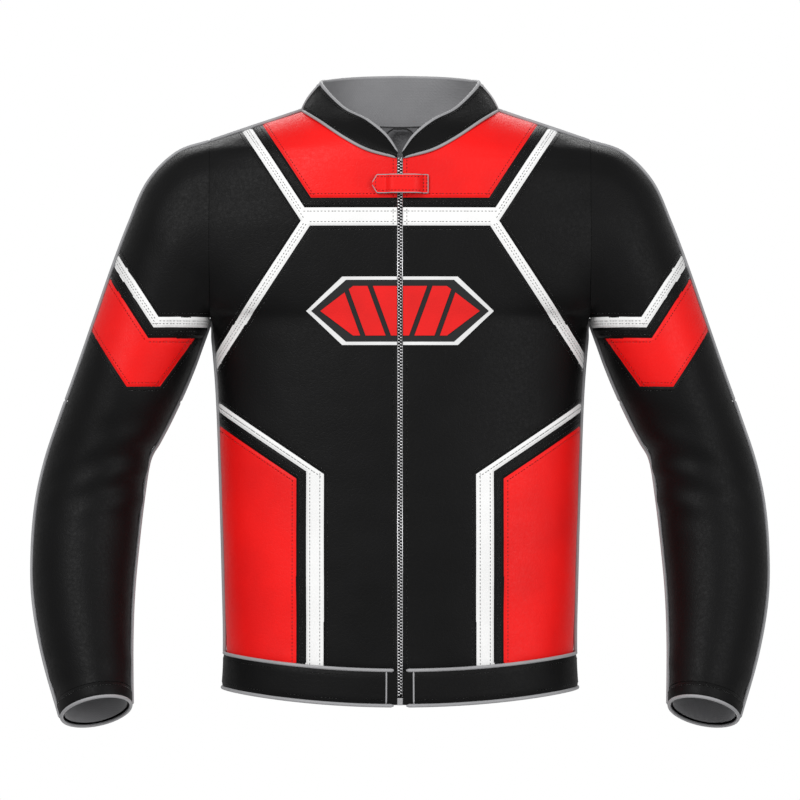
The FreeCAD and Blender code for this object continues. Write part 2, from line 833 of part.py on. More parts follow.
def zip_tapes():
    for side, name in ((1, "left"), (-1, "right")):
        body = body_with(f"zip_tape_{name}", ZIP_FRAME)
        sketch = sketch_on(body, "XY_Plane", f"tape_{name}_section")
        near, far = dim("chain_wide") + 0.1, dim("chain_wide") + dim("tape_wide")
        near, far = side * near, side * far
        y0, y1 = dim("tape_y"), dim("tape_y") + dim("tape_thick")
        outline_in(sketch, [(near, y0), (far, y0), (far, y1), (near, y1)])
        pad(body, sketch, f"tape_{name}_length", f"{D}zip_long - 2", reverse=True)


def zip_teeth():
    """Each row is a comb: a spine on the tape's edge with a tooth every pitch."""
    pitch, reach = dim("tooth_pitch"), dim("tooth_reach")
    tip, root, spine = dim("chain_slit"), dim("chain_slit") + reach, dim("chain_wide")
    top, bottom = dim("chain_top"), -(dim("zip_long") - dim("box_high") - 1)
    count = int((top - bottom) / pitch)
    points = [(spine, top), (spine, top - count * pitch)]
    for i in range(count, 0, -1):
        low = top - i * pitch
        points += [(root, low), (root, low + 0.2 * pitch), (tip, low + 0.35 * pitch)]
        points += [(tip, low + 0.85 * pitch), (root, low + pitch)]
    y0 = dim("tape_y") + dim("tape_thick") - dim("chain_thick") - 0.4
    wire = Part.makePolygon([Vector(x, y0, z) for x, z in [*points, points[0]]])
    row = Part.Face(wire).extrude(Vector(0, dim("chain_thick"), 0))
    store("zip_teeth_left", row, ZIP_FRAME)
    store("zip_teeth_right", mirrored(row), ZIP_FRAME)


def zip_stops():
    """Two top stops above the chain and the retainer box under it."""
    y0 = dim("tape_y") - 1.4
    top = Part.makeBox(2.0, 2.4, 2.0, Vector(dim("chain_slit"), y0, dim("chain_top") + 0.2))
    size = (2 * dim("zip_gap") - 0.4, 2.6, dim("box_high") - 1.0)
    box = Part.makeBox(*size, Vector(-size[0] / 2, y0, -dim("zip_long") + 0.5))
    cut = Part.makeBox(20, 3, 20, Vector(-10, dim("tape_y") - 0.1, -dim("zip_long") - 5))
    stop = top.cut(cut)
    store("zip_stops", Part.makeCompound([stop, mirrored(stop), box.cut(cut)]), ZIP_FRAME)


def zip_slider():
    """Two plates joined through the slit of the chain, with a bridge for the pull."""
    wide, high, plate = f"{D}slider_wide", f"{D}slider_high", f"{D}slider_plate"
    low = f"{D}slider_top - {D}slider_high"
    left = f"-{D}slider_wide / 2"
    size = (wide, plate, high)
    front = block("slider_front_plate", size, (left, f"{D}slider_front", low))
    back = block("slider_back_plate", size, (left, f"{D}slider_back", low))
    web_y = f"{D}slider_front + {D}slider_plate / 2"
    web_deep = f"{D}slider_back - {D}slider_front"
    web = block("slider_web", ("0.7", web_deep, high), ("-0.35", web_y, low))
    cheeks = []
    for side, x in (("left", "2.1"), ("right", "-3.1")):
        reach = f"{D}slider_front - {D}pull_hinge_y + 1.1 + 0.3"
        corner = (x, f"{D}pull_hinge_y - 1.1", f"{D}pull_hinge_z - 1.3")
        cheeks.append(block(f"slider_cheek_{side}", ("1", reach, "2.6"), corner))
    bar = doc.addObject("Part::Cylinder", "slider_crossbar")
    bar.setExpression("Radius", f"{D}crossbar_r")
    bar.Height = 5.0
    bar.Placement = Placement(
        Vector(-2.5, dim("pull_hinge_y"), dim("pull_hinge_z")), Rotation(Vector(0, 1, 0), 90)
    )
    slider = doc.addObject("Part::MultiFuse", "zip_slider")
    slider.Label = "zip_slider"
    slider.Shapes = [front, back, web, *cheeks, bar]
    slider.Placement = ZIP_FRAME
    SUBPARTS.append(slider)


def zip_pull():
    """A flat pull that hangs from the slider's crossbar by an eyelet."""
    hinge_y, hinge_z = dim("pull_hinge_y"), dim("pull_hinge_z")
    frame = ZIP_FRAME.multiply(Placement(Vector(0, hinge_y, hinge_z), Rotation()))
    body = body_with("zip_pull", frame)
    eye = sketch_on(body, "YZ_Plane", "pull_eyelet")
    centre, out = Vector(0, 0, 0), Vector(0, 0, 1)
    eye.addGeometry(Part.Circle(centre, out, dim("eyelet_outer_r")), False)
    eye.addGeometry(Part.Circle(centre, out, dim("eyelet_r")), False)
    pad(body, eye, "eyelet", "3.4 mm", symmetric=True)
    blade = sketch_on(body, "XZ_Plane", "pull_blade")
    half, low, neck = dim("pull_wide") / 2, -dim("pull_long"), 1.7
    start = -dim("eyelet_r") - 0.3
    outline = [(-neck, start), (-neck, -2.6), (-half, -3.8), (-half, low + 1.5), (-half + 1.5, low)]
    outline += [(-x, z) for x, z in reversed(outline)]
    outline_in(blade, outline)
    pad(body, blade, "blade", f"{D}pull_thick", symmetric=True)


def tab_profile():
    """Points of the throat tab's arched section, back face first."""
    low, rise = -dim("throat_low"), -dim("throat_rise")
    back = [(24.2, -0.9), (15.5, rise), (-9.0, rise), (-14.5, low), (dim("throat_tip_x"), low)]
    thick = dim("throat_thick")
    front = [(x, y - thick) for x, y in reversed(back)]
    front[-2] = (15.9, rise - thick)
    return back + front


def throat_tab():
    """The leather strap over the zip: arched over the slider, pointed at its free end."""
    middle = dim("throat_top") - dim("throat_high") / 2
    frame = ZIP_FRAME.multiply(Placement(Vector(0, 0, middle), Rotation()))
    body = body_with("throat_tab", frame)
    section = sketch_on(body, "XY_Plane", "tab_section")
    outline_in(section, tab_profile())
    pad(body, section, "tab_strip", f"{D}throat_high", symmetric=True)
    corners = sketch_on(body, "XZ_Plane", "tab_point", offset=20)
    tip, shoulder, half = dim("throat_tip_x"), dim("throat_shoulder_x"), dim("throat_high") / 2
    for edge, past in ((half, half + 2), (-half, -half - 2)):
        points = [(tip - 2, 0.0), (tip, 0.0), (shoulder, edge), (shoulder, past), (tip - 2, past)]
        outline_in(corners, points)
    cut = body.newObject("PartDesign::Pocket", "tab_point_cut")
    cut.Profile = corners
    cut.Type = "ThroughAll"
    cut.Midplane = True
    doc.recompute()

    base = body_with("throat_tab_base", frame)
    foot = sketch_on(base, "XY_Plane", "base_section")
    x0, x1, thick = dim("throat_hinge_x") + 0.4, dim("throat_base_end"), dim("throat_thick")
    outline_in(foot, [(x0, -0.9 - thick), (x1, -0.5 - thick), (x1, -0.35), (x0, -0.35)])
    pad(base, foot, "base_strip", f"{D}throat_high", symmetric=True)

    low, grip = -dim("throat_low"), dim("fastener_thick")
    for label, y in (("tab_hook_pad", low + 0.02), ("tab_loop_pad", low + grip + 0.12)):
        piece = body_with(label, frame)
        sketch = sketch_on(piece, "XZ_Plane", f"{label}_outline", offset=-y)
        high, left, right = dim("fastener_wide") / 2, -28.5, -16.0
        upper = [(left, high * 0.3), (left + 3, high), (right, high)]
        outline_in(sketch, upper + [(x, -z) for x, z in reversed(upper)])
        pad(piece, sketch, f"{label}_thickness", f"{D}fastener_thick", reverse=True)


def hang_loop():
    """A tape loop inside the back of the neck. The hook bears on the origin."""
    body = body_with("hang_loop")
    sketch = sketch_on(body, "XZ_Plane", "loop_arch")
    half, flat, drop, thick = dim("loop_half"), dim("loop_flat"), dim("loop_drop"), dim("loop_thick")
    inside = [(-half, -drop), (-flat, -3.0), (5 - flat, 0)]
    inside += [(-x, z) for x, z in reversed(inside)]
    outside = [(half + 8, -drop), (half + 8, -drop + thick), (half + 0.5, -drop + thick)]
    outside += [(flat + 0.6, -3 + thick), (flat - 4.6, thick)]
    outside += [(-x, z) for x, z in reversed(outside)]
    outline_in(sketch, inside + outside)
    pad(body, sketch, "loop_width", f"{D}loop_wide", symmetric=True)


# ---- checks and export -----------------------------------------------------------------


def check_document():
    """Stops the script, naming every object that did not come out as a valid solid."""
    doc.recompute()
    faults = [f"{o.Label}: {o.State}" for o in doc.Objects if {"Invalid", "Error"} & set(o.State)]
    for item in SUBPARTS:
        shape = item.Shape
        if shape.isNull() or not shape.isValid() or not shape.Solids or shape.Volume <= 0:
            faults.append(f"{item.Label}: no valid solid")
    if faults:
        sys.exit("\n".join(faults))


def export_parts():
    os.makedirs("parts", exist_ok=True)
    for old in os.listdir("parts"):
        os.remove(os.path.join("parts", old))
    for item in SUBPARTS:
        item.Shape.exportStep(os.path.join("parts", f"{item.Label}.step"))
        print(f"{item.Label}: {len(item.Shape.Solids)} solids, {item.Shape.Volume / 1000:.1f} cm3")


torso_panels()
waistband()
collar_band()
store("trim_piping", Part.makeCompound(trim_piping()))
chest_badge()
sleeves()
body_lining()
armour()
zip_tapes()
zip_teeth()
zip_stops()
zip_slider()
zip_pull()
throat_tab()
hang_loop()
check_document()
export_parts()
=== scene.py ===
import math

import bmesh
import bpy
from mathutils import Matrix, Vector, noise
from mathutils.bvhtree import BVHTree


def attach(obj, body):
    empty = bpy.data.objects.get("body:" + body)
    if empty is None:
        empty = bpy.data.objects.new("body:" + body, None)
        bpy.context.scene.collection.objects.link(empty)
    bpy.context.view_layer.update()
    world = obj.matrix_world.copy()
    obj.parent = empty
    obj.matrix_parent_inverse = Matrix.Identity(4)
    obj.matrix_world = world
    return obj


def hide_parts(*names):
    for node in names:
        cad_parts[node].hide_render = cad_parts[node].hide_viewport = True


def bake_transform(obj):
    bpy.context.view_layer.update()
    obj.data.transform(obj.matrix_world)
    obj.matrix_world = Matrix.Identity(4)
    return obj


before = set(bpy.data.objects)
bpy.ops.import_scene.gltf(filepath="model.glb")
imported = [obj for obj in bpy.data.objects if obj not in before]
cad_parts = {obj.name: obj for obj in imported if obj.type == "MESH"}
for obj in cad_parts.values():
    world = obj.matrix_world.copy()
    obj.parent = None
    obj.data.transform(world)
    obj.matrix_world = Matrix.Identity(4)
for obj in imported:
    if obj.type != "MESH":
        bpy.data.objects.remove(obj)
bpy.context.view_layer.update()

# Everything below is worked out in millimetres and scaled when a mesh is made.
MM = 0.001

# ---- the jacket's own dimensions -------------------------------------------------------

ZIP_TOP_Y, ZIP_TOP_Z = -166.0, -38.0
ZIP_DROP, ZIP_LEAN, ZIP_LONG = 607.0, 30.0, 607.7
ARMHOLE_X, ARMHOLE_TOP, ARMHOLE_LOW = 213.0, -17.0, -214.0
ARMHOLE_EDGE = ARMHOLE_X - 0.3
WAIST_SIDE, WAIST_DIP, HEM_SIDE, WAIST_HALF = -590.0, 16.0, -629.0, 196.0
LEATHER = 1.6

# Torso: height, half width, y of the back, exponent of the rounded section.
TORSO = [
    (-650, 199.0, 27.0, 2.5),
    (-590, 195.5, 20.0, 2.5),
    (-500, 197.0, 17.0, 2.5),
    (-400, 200.0, 25.0, 2.45),
    (-300, 204.0, 39.0, 2.4),
    (-240, 209.0, 46.0, 2.35),
    (-214, 213.0, 48.0, 2.3),
    (-204, 233.0, 48.5, 2.3),
    (-190, 256.0, 49.0, 2.3),
    (-165, 282.0, 49.0, 2.3),
    (-135, 298.0, 48.0, 2.3),
    (-108, 302.0, 46.0, 2.25),
    (-78, 290.0, 40.0, 2.1),
    (-54, 275.0, 34.0, 2.0),
    (-40, 261.0, 30.0, 1.9),
    (-27, 243.0, 25.0, 1.85),
    (-17, 213.0, 21.0, 1.8),
    (0, 163.0, 12.5, 1.75),
    (9, 136.0, 8.6, 1.75),
    (20, 104.0, 4.0, 1.75),
]
NECK_FRONT = [(-38, -166.0), (-17, -161.0), (0, -152.0), (20, -136.0)]

# Left sleeve rings: outer x, z, inner x, z, middle y, half depth, rise of the ring's front.
SLEEVE = [
    (213.0, -17, 213.0, -214, -61, 84, 0),
    (250.0, -30, 215.0, -220, -61, 83, 0),
    (282.0, -62, 218.5, -230, -62, 81, 0),
    (303.0, -108, 224.0, -245, -63, 78, 0),
    (322.0, -158, 233.0, -270, -65, 74, 2),
    (342.0, -216, 245.0, -299, -68, 70, 3),
    (362.0, -274, 259.0, -329, -71, 67, 4),
    (381.0, -327, 271.5, -353, -73, 64, 3),
    (397.0, -375, 283.0, -375, -74, 62, 0),
    (407.0, -422, 290.0, -420, -79, 60, 6),
    (411.0, -475, 295.5, -471, -90, 57, 14),
    (409.0, -531, 299.5, -523, -107, 53, 18),
    (397.0, -592, 300.5, -577, -131, 47, 19),
    (376.0, -660, 299.0, -645, -160, 42, 17),
]
CUFF_RING, ARMHOLE_FADE = 13, 7.0

# Left half of the collar: x and z on the neck seam, then x, y and z on the top edge.
COLLAR = [
    (2.4, -37.6, 2.4, -164, -33.5),
    (35.0, -29.5, 15.0, -152, -13),
    (62.0, -15.5, 36.0, -138, 5.0),
    (88.0, 2.5, 63.0, -114, 20),
    (109.0, 18.0, 87.5, -69, 48),
    (92.0, 14.0, 79.0, -32, 54),
    (55.0, 10.0, 45.0, -3, 58.5),
    (0.0, 8.5, 0.0, 4, 60.0),
]
COLLAR_SIDE, COLLAR_TURN = 4, 0.35

YOKE_X, YOKE_LOW, EDGING_WIDE = 99.0, -82.0, 14.5
STRIPE_WIDE, STRIPE_HIGH, STRIPE_TOP, STRIPE_LEAN = 12.9, 20.0, -93.0, 0.656
SIDE_X, SIDE_WIDE, SIDE_EDGING, SIDE_KINK, SIDE_SLOPE = 84.6, 19.6, 11.2, -389.0, 0.667

ZIP_ANGLE = math.atan2(ZIP_LEAN, ZIP_DROP)
ZIP_FRAME = Matrix.Translation((0, ZIP_TOP_Y, ZIP_TOP_Z)) @ Matrix.Rotation(-ZIP_ANGLE, 4, "X")


def through(table, at):
    """Values of a table's columns at one value of its first column, on a smooth curve."""
    keys = [row[0] for row in table]
    i = 0
    while i < len(table) - 2 and at > keys[i + 1]:
        i += 1
    span = keys[i + 1] - keys[i]
    t = (at - keys[i]) / span
    low, high = max(0, i - 1), min(len(table) - 1, i + 2)
    found = []
    for column in range(1, len(table[0])):
        a, b = table[i][column], table[i + 1][column]
        da = (table[i + 1][column] - table[low][column]) / (keys[i + 1] - keys[low]) * span
        db = (table[high][column] - table[i][column]) / (keys[high] - keys[i]) * span
        found.append(
            a * (1 + 2 * t) * (1 - t) ** 2
            + da * t * (1 - t) ** 2
            + b * t * t * (3 - 2 * t)
            + db * t * t * (t - 1)
        )
    return found


def numbered(table):
    return [(i, *row) for i, row in enumerate(table)]


SLEEVE_ROWS, COLLAR_ROWS = numbered(SLEEVE), numbered(COLLAR)


def power(value, exponent):
    return math.copysign(abs(value) ** exponent, value)


def smooth(value, low=0.0, high=1.0):
    t = min(1.0, max(0.0, (value - low) / (high - low)))
    return t * t * (3 - 2 * t)


# ---- the surfaces of the jacket --------------------------------------------------------


def front_y(z):
    if z > ZIP_TOP_Z:
        return through(NECK_FRONT, z)[0]
    return ZIP_TOP_Y - ZIP_LEAN * (ZIP_TOP_Z - z) / ZIP_DROP


def torso_section(z):
    wide, back, exponent = through(TORSO, z)
    front = front_y(z)
    return wide, (front + back) / 2, (back - front) / 2, exponent


def torso(turn, z):
    wide, middle, deep, n = torso_section(z)
    s, c = math.sin(math.radians(turn)), math.cos(math.radians(turn))
    return Vector((wide * power(s, 2 / n), middle - deep * power(c, 2 / n), z))


def torso_y(x, z, side):
    wide, middle, deep, n = torso_section(z)
    share = min(1.0, abs(x) / wide)
    return middle + side * deep * (1 - share**n) ** (1 / n)


def sleeve(turn, ring):
    ox, oz, ix, iz, mid_y, deep, rise = through(SLEEVE_ROWS, ring)
    s, c = math.sin(math.radians(turn)), math.cos(math.radians(turn))
    x = (ox + ix) / 2 + (ox - ix) / 2 * c
    z = (oz + iz) / 2 + (oz - iz) / 2 * c + rise * s
    y = mid_y - deep * s
    fade = max(0.0, 1 - ring / ARMHOLE_FADE) ** 2
    if fade:
        hole_z = (ARMHOLE_TOP + ARMHOLE_LOW) / 2 + (ARMHOLE_TOP - ARMHOLE_LOW) / 2 * c
        on_torso = torso_y(ARMHOLE_X, hole_z, -1 if s > 0 else 1)
        y += fade * (on_torso - (SLEEVE[0][4] - SLEEVE[0][5] * s))
    return Vector((x, y, z))


def collar_edges(at):
    bx, bz, tx, ty, tz = through(COLLAR_ROWS, at)
    backness = smooth(at, COLLAR_SIDE - COLLAR_TURN, COLLAR_SIDE + COLLAR_TURN)
    front, back = torso_y(bx, bz, -1), torso_y(bx, bz, 1)
    return Vector((bx, front + (back - front) * backness, bz)), Vector((tx, ty, tz))


def collar(at, rise):
    """at runs from the left end of the collar over the back to its right end."""
    last = len(COLLAR) - 1
    low, top = collar_edges(at if at <= last else 2 * last - at)
    point = low.lerp(top, rise) if 0 <= rise <= 1 else low + (top - low) * rise
    out = Vector((point.x, point.y + 70, 0)).normalized()
    point = point + out * 2.5 * math.sin(math.pi * min(1, max(0, rise)))
    return point if at <= last else Vector((-point.x, point.y, point.z))


def waist_z(x, level):
    return level - WAIST_DIP * (1 - (x / WAIST_HALF) ** 2)


# ---- meshes ----------------------------------------------------------------------------

def to_object(name, bm, materials, normals=None):
    """A mesh object in metres from a bmesh in millimetres."""
    mesh = bpy.data.meshes.new(name)
    bm.to_mesh(mesh)
    bm.free()
    mesh.transform(Matrix.Scale(MM, 4))
    for material in materials:
        mesh.materials.append(material)
    mesh.polygons.foreach_set("use_smooth", [True] * len(mesh.polygons))
    mesh.update()
    if normals is not None:
        mesh.normals_split_custom_set_from_vertices(normals)
    piece = bpy.data.objects.new(name, mesh)
    bpy.context.scene.collection.objects.link(piece)
    return piece


def grid(surface, us, vs, closed=False):
    """A bmesh over the grid us by vs. closed joins the last column of u to the first."""
    bm = bmesh.new()
    rows = [[bm.verts.new(surface(u, v)) for v in vs] for u in us]
    if closed:
        rows.append(rows[0])
    for a, b in zip(rows, rows[1:]):
        for j in range(len(vs) - 1):
            bm.faces.new((a[j], b[j], b[j + 1], a[j + 1]))
    return bm


def spread(first, last, count):
    return [first + (last - first) * i / (count - 1) for i in range(count)]


def segments_of(outline):
    return list(zip(outline, outline[1:] + outline[:1]))


def distance(x, z, a, b):
    """Distance in the front view from a point to the segment a to b."""
    dx, dz = b[0] - a[0], b[1] - a[1]
    t = ((x - a[0]) * dx + (z - a[1]) * dz) / (dx * dx + dz * dz)
    t = min(1.0, max(0.0, t))
    return math.hypot(x - a[0] - t * dx, z - a[1] - t * dz)


def inside(x, z, outline):
    hit = False
    for (ax, az), (bx, bz) in segments_of(outline):
        if (az > z) != (bz > z) and x < ax + (z - az) * (bx - ax) / (bz - az):
            hit = not hit
    return hit


def frame_of(a, b):
    """Start, direction, sideways direction and length of a front-view segment."""
    span = Vector((b[0] - a[0], 0, b[1] - a[1]))
    along = span / span.length
    return Vector((a[0], 0, a[1])), along, Vector((-along.z, 0, along.x)), span.length


def cut_along(bm, segments, offsets):
    """Cuts faces near each front-view segment with planes through it and beside it."""
    for a, b in segments:
        start, along, across, length = frame_of(a, b)
        near = []
        for face in bm.faces:
            c = face.calc_center_median()
            rel = Vector((c.x - a[0], 0, c.z - a[1]))
            if abs(rel.dot(across)) < 16 and -14 < rel.dot(along) < length + 14:
                near.append(face)
        geom = set(near)
        for face in near:
            geom.update(face.edges)
            geom.update(face.verts)
        geom = list(geom)
        for offset in offsets:
            base = start + across * offset
            cut = bmesh.ops.bisect_plane(bm, geom=geom, dist=1e-4, plane_co=base, plane_no=across)
            geom = cut["geom"]


GROOVE, GROOVE_WIDE, SEAM_REACH = 1.0, 2.7, 8.0
CHANNEL, CHANNEL_AT, CHANNEL_WIDE = 0.14, 4.2, 1.3
CUTS = (0.0, 0.9, -0.9, 2.0, -2.0, 3.0, -3.0, 4.2, -4.2, 5.6, -5.6)


def seam_relief(d):
    """Depth of the leather at distance d from a seam: turned under, then a stitched channel."""
    fold = GROOVE * (1 - smooth(d, 0, GROOVE_WIDE))
    row = CHANNEL * max(0.0, 1 - abs(d - CHANNEL_AT) / CHANNEL_WIDE)
    return fold + row


def seam_distance(x, z, segments):
    """Distance to the nearest segment, or SEAM_REACH where none is nearer."""
    best = SEAM_REACH
    for a, b in segments:
        if min(a[0], b[0]) - best > x or max(a[0], b[0]) + best < x:
            continue
        if min(a[1], b[1]) - best > z or max(a[1], b[1]) + best < z:
            continue
        best = min(best, distance(x, z, a, b))
    return best


def folds(p):
    """Slow unevenness of worn leather, in millimetres outward, flat along the slider's way."""
    slow = noise.noise(p / 75.0 + Vector((3.1, 7.7, 1.9)))
    fast = noise.noise(p / 26.0 + Vector((9.3, 2.2, 5.8)))
    share = 0.15 + 0.85 * smooth(abs(p.x), 6, 28) if p.y < -100 else 1.0
    return (1.1 * slow + 0.35 * fast) * share


def relieve(bm, segments, extra):
    """Moves every vertex along its normal by seams, folds and the extra relief."""
    bm.normal_update()
    moves = []
    for v in bm.verts:
        depth = folds(v.co) - seam_relief(seam_distance(v.co.x, v.co.z, segments))
        depth += extra(v.co)
        moves.append(v.normal * depth)
    for v, move in zip(bm.verts, moves):
        v.co += move
    bm.normal_update()


def flip(bm):
    for face in bm.faces:
        face.normal_flip()


def outward_from(bm, centre_of):
    """Turns every face of a sheet so that it looks away from centre_of(point)."""
    bmesh.ops.recalc_face_normals(bm, faces=bm.faces)
    score = 0.0
    for face in bm.faces:
        c = face.calc_center_median()
        score += face.normal.dot(c - centre_of(c))
    if score < 0:
        flip(bm)
    bm.normal_update()


def torso_centre(p):
    return Vector((0, -70, p.z - 40 * (p.z > -60)))


SLEEVE_AXIS = [(sleeve(0, ring) + sleeve(180, ring)) / 2 for ring in range(len(SLEEVE))]


def sleeve_axis(p):
    return min(SLEEVE_AXIS, key=lambda point: (point - p).length)


def pick(bm, test):
    """A new bmesh holding the faces whose centre passes the test, with the old normals."""
    made = bmesh.new()
    known, normals = {}, []
    for face in bm.faces:
        if not test(face.calc_center_median()):
            continue
        corners = []
        for v in face.verts:
            if v not in known:
                known[v] = made.verts.new(v.co)
                normals.append(v.normal.copy())
            corners.append(known[v])
        made.faces.new(corners)
    return made, normals


def thicken(bm, normals, thick):
    """Gives a sheet an inner side, thick below each vertex, and a rim. Returns all normals."""
    outer = list(bm.verts)
    bm.verts.index_update()
    if not isinstance(thick, list):
        thick = [thick] * len(outer)
    inner = [bm.verts.new(v.co - n * t) for v, n, t in zip(outer, normals, thick)]
    rims = []
    for edge in bm.edges:
        if len(edge.link_faces) == 1:
            loop = edge.link_loops[0]
            rims.append((loop.vert.index, loop.link_loop_next.vert.index))
    for face in list(bm.faces):
        bm.faces.new([inner[v.index] for v in reversed(face.verts)])
    for a, b in rims:
        bm.faces.new((outer[b], outer[a], inner[a], inner[b]))
    return list(normals) + [-n for n in normals]


STITCH_LONG, STITCH_PITCH, STITCH_R = 2.7, 3.9, 0.3


def add_stitch(bm, centre, along, out, normals):
    """One raised stitch: a short thread with tapered ends, pressed into the leather."""
    side = along.cross(out).normalized()
    rings = []
    for share, size in ((-0.5, 0.35), (-0.3, 1.0), (0.3, 1.0), (0.5, 0.35)):
        middle = centre + along * STITCH_LONG * share + out * (0.12 if size == 1.0 else -0.3)
        ring = []
        for k in range(6):
            a = math.pi / 3 * k
            d = side * math.cos(a) + out * math.sin(a)
            ring.append(bm.verts.new(middle + d * STITCH_R * size))
            normals.append(d)
        rings.append(ring)
    made = []
    for a, b in zip(rings, rings[1:]):
        for k in range(6):
            made.append(bm.faces.new((a[k], a[(k + 1) % 6], b[(k + 1) % 6], b[k])))
    made.append(bm.faces.new(rings[0][::-1]))
    made.append(bm.faces.new(rings[-1]))
    for face in made:
        face.material_index = 1


def stitch_segments(bm, normals, tree, segments, test, sides):
    """Rows of stitches beside front-view segments, on the front or the back of the piece."""
    for a, b in segments:
        start, along, across, length = frame_of(a, b)
        for sign in (-1, 1):
            for side in sides:
                last, walked = None, STITCH_PITCH * 0.6
                steps = max(2, int(length / 1.0))
                for i in range(steps + 1):
                    p = start + along * length * i / steps + across * CHANNEL_AT * sign
                    if not test(p.x, p.z):
                        last = None
                        continue
                    hit, n, _, _ = tree.ray_cast(Vector((p.x, side * 400, p.z)), Vector((0, -side, 0)))
                    if hit is None or n.y * side < 0.12:
                        last = None
                        continue
                    if last is not None:
                        walked += (hit - last).length
                        if walked >= STITCH_PITCH and (hit - last).length < 6:
                            walked -= STITCH_PITCH
                            walked = min(walked, STITCH_PITCH * 0.9)
                            add_stitch(bm, hit, (hit - last).normalized(), n, normals)
                    last = hit


CORD_SIDES = 10


def tube(name, points, radius, closed=False):
    """A round cord of leather piping along points in millimetres, narrowed at open ends."""
    bm = bmesh.new()
    count, sides = len(points), CORD_SIDES
    angles = [2 * math.pi * k / sides for k in range(sides)]
    rings = []
    reference = Vector((0, 0, 1))
    for i, p in enumerate(points):
        before = points[i - 1] if closed or i else p
        after = points[(i + 1) % count] if closed or i < count - 1 else p
        t = (after - before).normalized()
        u = reference - t * reference.dot(t)
        if u.length < 1e-3:
            u = Vector((1, 0, 0)) - t * t.x
        u.normalize()
        reference = u
        w = t.cross(u)
        size = radius * 0.45 if not closed and i in (0, count - 1) else radius
        rings.append([bm.verts.new(p + (u * math.cos(a) + w * math.sin(a)) * size) for a in angles])
    pairs = list(zip(rings, rings[1:] + ([rings[0]] if closed else [])))
    for n, (a, b) in enumerate(pairs):
        shift = 0
        if closed and n == len(pairs) - 1:
            shift = min(range(sides), key=lambda s: (a[0].co - b[s].co).length)
        for k in range(sides):
            bm.faces.new((a[k], a[(k + 1) % sides], b[(k + 1 + shift) % sides], b[(k + shift) % sides]))
    if not closed:
        bm.faces.new(rings[0][::-1])
        bm.faces.new(rings[-1])
    bmesh.ops.recalc_face_normals(bm, faces=bm.faces)
    return to_object(name, bm, [PIPING])


def smooth_path(points, step=4.0):
    """The same path with points a steady distance apart."""
    out, carry = [points[0]], 0.0
    for a, b in zip(points, points[1:]):
        length = (b - a).length
        while carry + length >= step:
            share = (step - carry) / length
            a = a.lerp(b, share)
            out.append(a)
            length = (b - a).length
            carry = 0.0
        carry += length
    if (out[-1] - points[-1]).length > step * 0.3:
        out.append(points[-1])
    return out


def join(name, pieces):
    """One mesh object of several, keeping their materials."""
    target = pieces[0]
    with bpy.context.temp_override(
        active_object=target, selected_objects=pieces, selected_editable_objects=pieces
    ):
        bpy.ops.object.join()
    target.name = name
    return target


def mirror_piece(piece, name):
    """A copy reflected to the wearer's other side."""
    mesh = piece.data.copy()
    normals = [Vector((-n.vector.x, n.vector.y, n.vector.z)) for n in mesh.corner_normals]
    loops = [(p.loop_start, p.loop_total) for p in mesh.polygons]
    mesh.transform(Matrix.Scale(-1, 4, (1, 0, 0)))
    mesh.flip_normals()
    turned = []
    for start, total in loops:
        turned += [normals[start]] + [normals[start + total - k] for k in range(1, total)]
    mesh.update()
    mesh.normals_split_custom_set(turned)
    other = bpy.data.objects.new(name, mesh)
    bpy.context.scene.collection.objects.link(other)
    return other


# ---- materials -------------------------------------------------------------------------


class Finish:
    """A material being built on one principled shader, in the object's own coordinates."""

    def __init__(self, name):
        self.material = bpy.data.materials.new(name)
        self.material.use_nodes = True
        self.tree = self.material.node_tree
        self.tree.nodes.clear()
        out = self.add("OutputMaterial")
        self.shader = self.add("BsdfPrincipled")
        self.link(self.shader.outputs["BSDF"], out.inputs["Surface"])
        self.coords = self.add("TexCoord").outputs["Object"]

    def link(self, source, target):
        self.tree.links.new(source, target)

    def add(self, kind, settings=None, **inputs):
        made = self.tree.nodes.new("ShaderNode" + kind)
        for key, value in (settings or {}).items():
            setattr(made, key, value)
        for key, value in inputs.items():
            made.inputs[key].default_value = value
        return made

    def texture(self, kind, settings=None, **inputs):
        made = self.add("Tex" + kind, settings, **inputs)
        self.link(self.coords, made.inputs["Vector"])
        return made

    def mapped(self, value, low, high, to_low, to_high):
        made = self.add("MapRange")
        for socket, number in zip(("From Min", "From Max", "To Min", "To Max"), (low, high, to_low, to_high)):
            made.inputs[socket].default_value = number
        self.link(value, made.inputs["Value"])
        return made.outputs["Result"]

    def colour(self, amount, dark, light):
        """Base colour between dark and light, by amount."""
        mix = self.add("Mix", {"data_type": "RGBA"})
        mix.inputs["A"].default_value = (*dark, 1)
        mix.inputs["B"].default_value = (*light, 1)
        self.link(amount, mix.inputs["Factor"])
        self.link(mix.outputs["Result"], self.shader.inputs["Base Color"])

    def roughness(self, amount, low, high):
        self.link(self.mapped(amount, 0.3, 0.7, low, high), self.shader.inputs["Roughness"])

    def bumps(self, *layers):
        """Layers of (height, strength, distance), the finest first."""
        target = self.shader.inputs["Normal"]
        for height, strength, reach in layers:
            bump = self.add("Bump", Strength=strength, Distance=reach)
            self.link(height, bump.inputs["Height"])
            self.link(bump.outputs["Normal"], target)
            target = bump.inputs["Normal"]

    def set(self, **inputs):
        """Constants, straight on the shader's own sockets."""
        for key, value in inputs.items():
            self.shader.inputs[key.replace("_", " ")].default_value = value


def darker(color, share):
    return tuple(c * share for c in color)


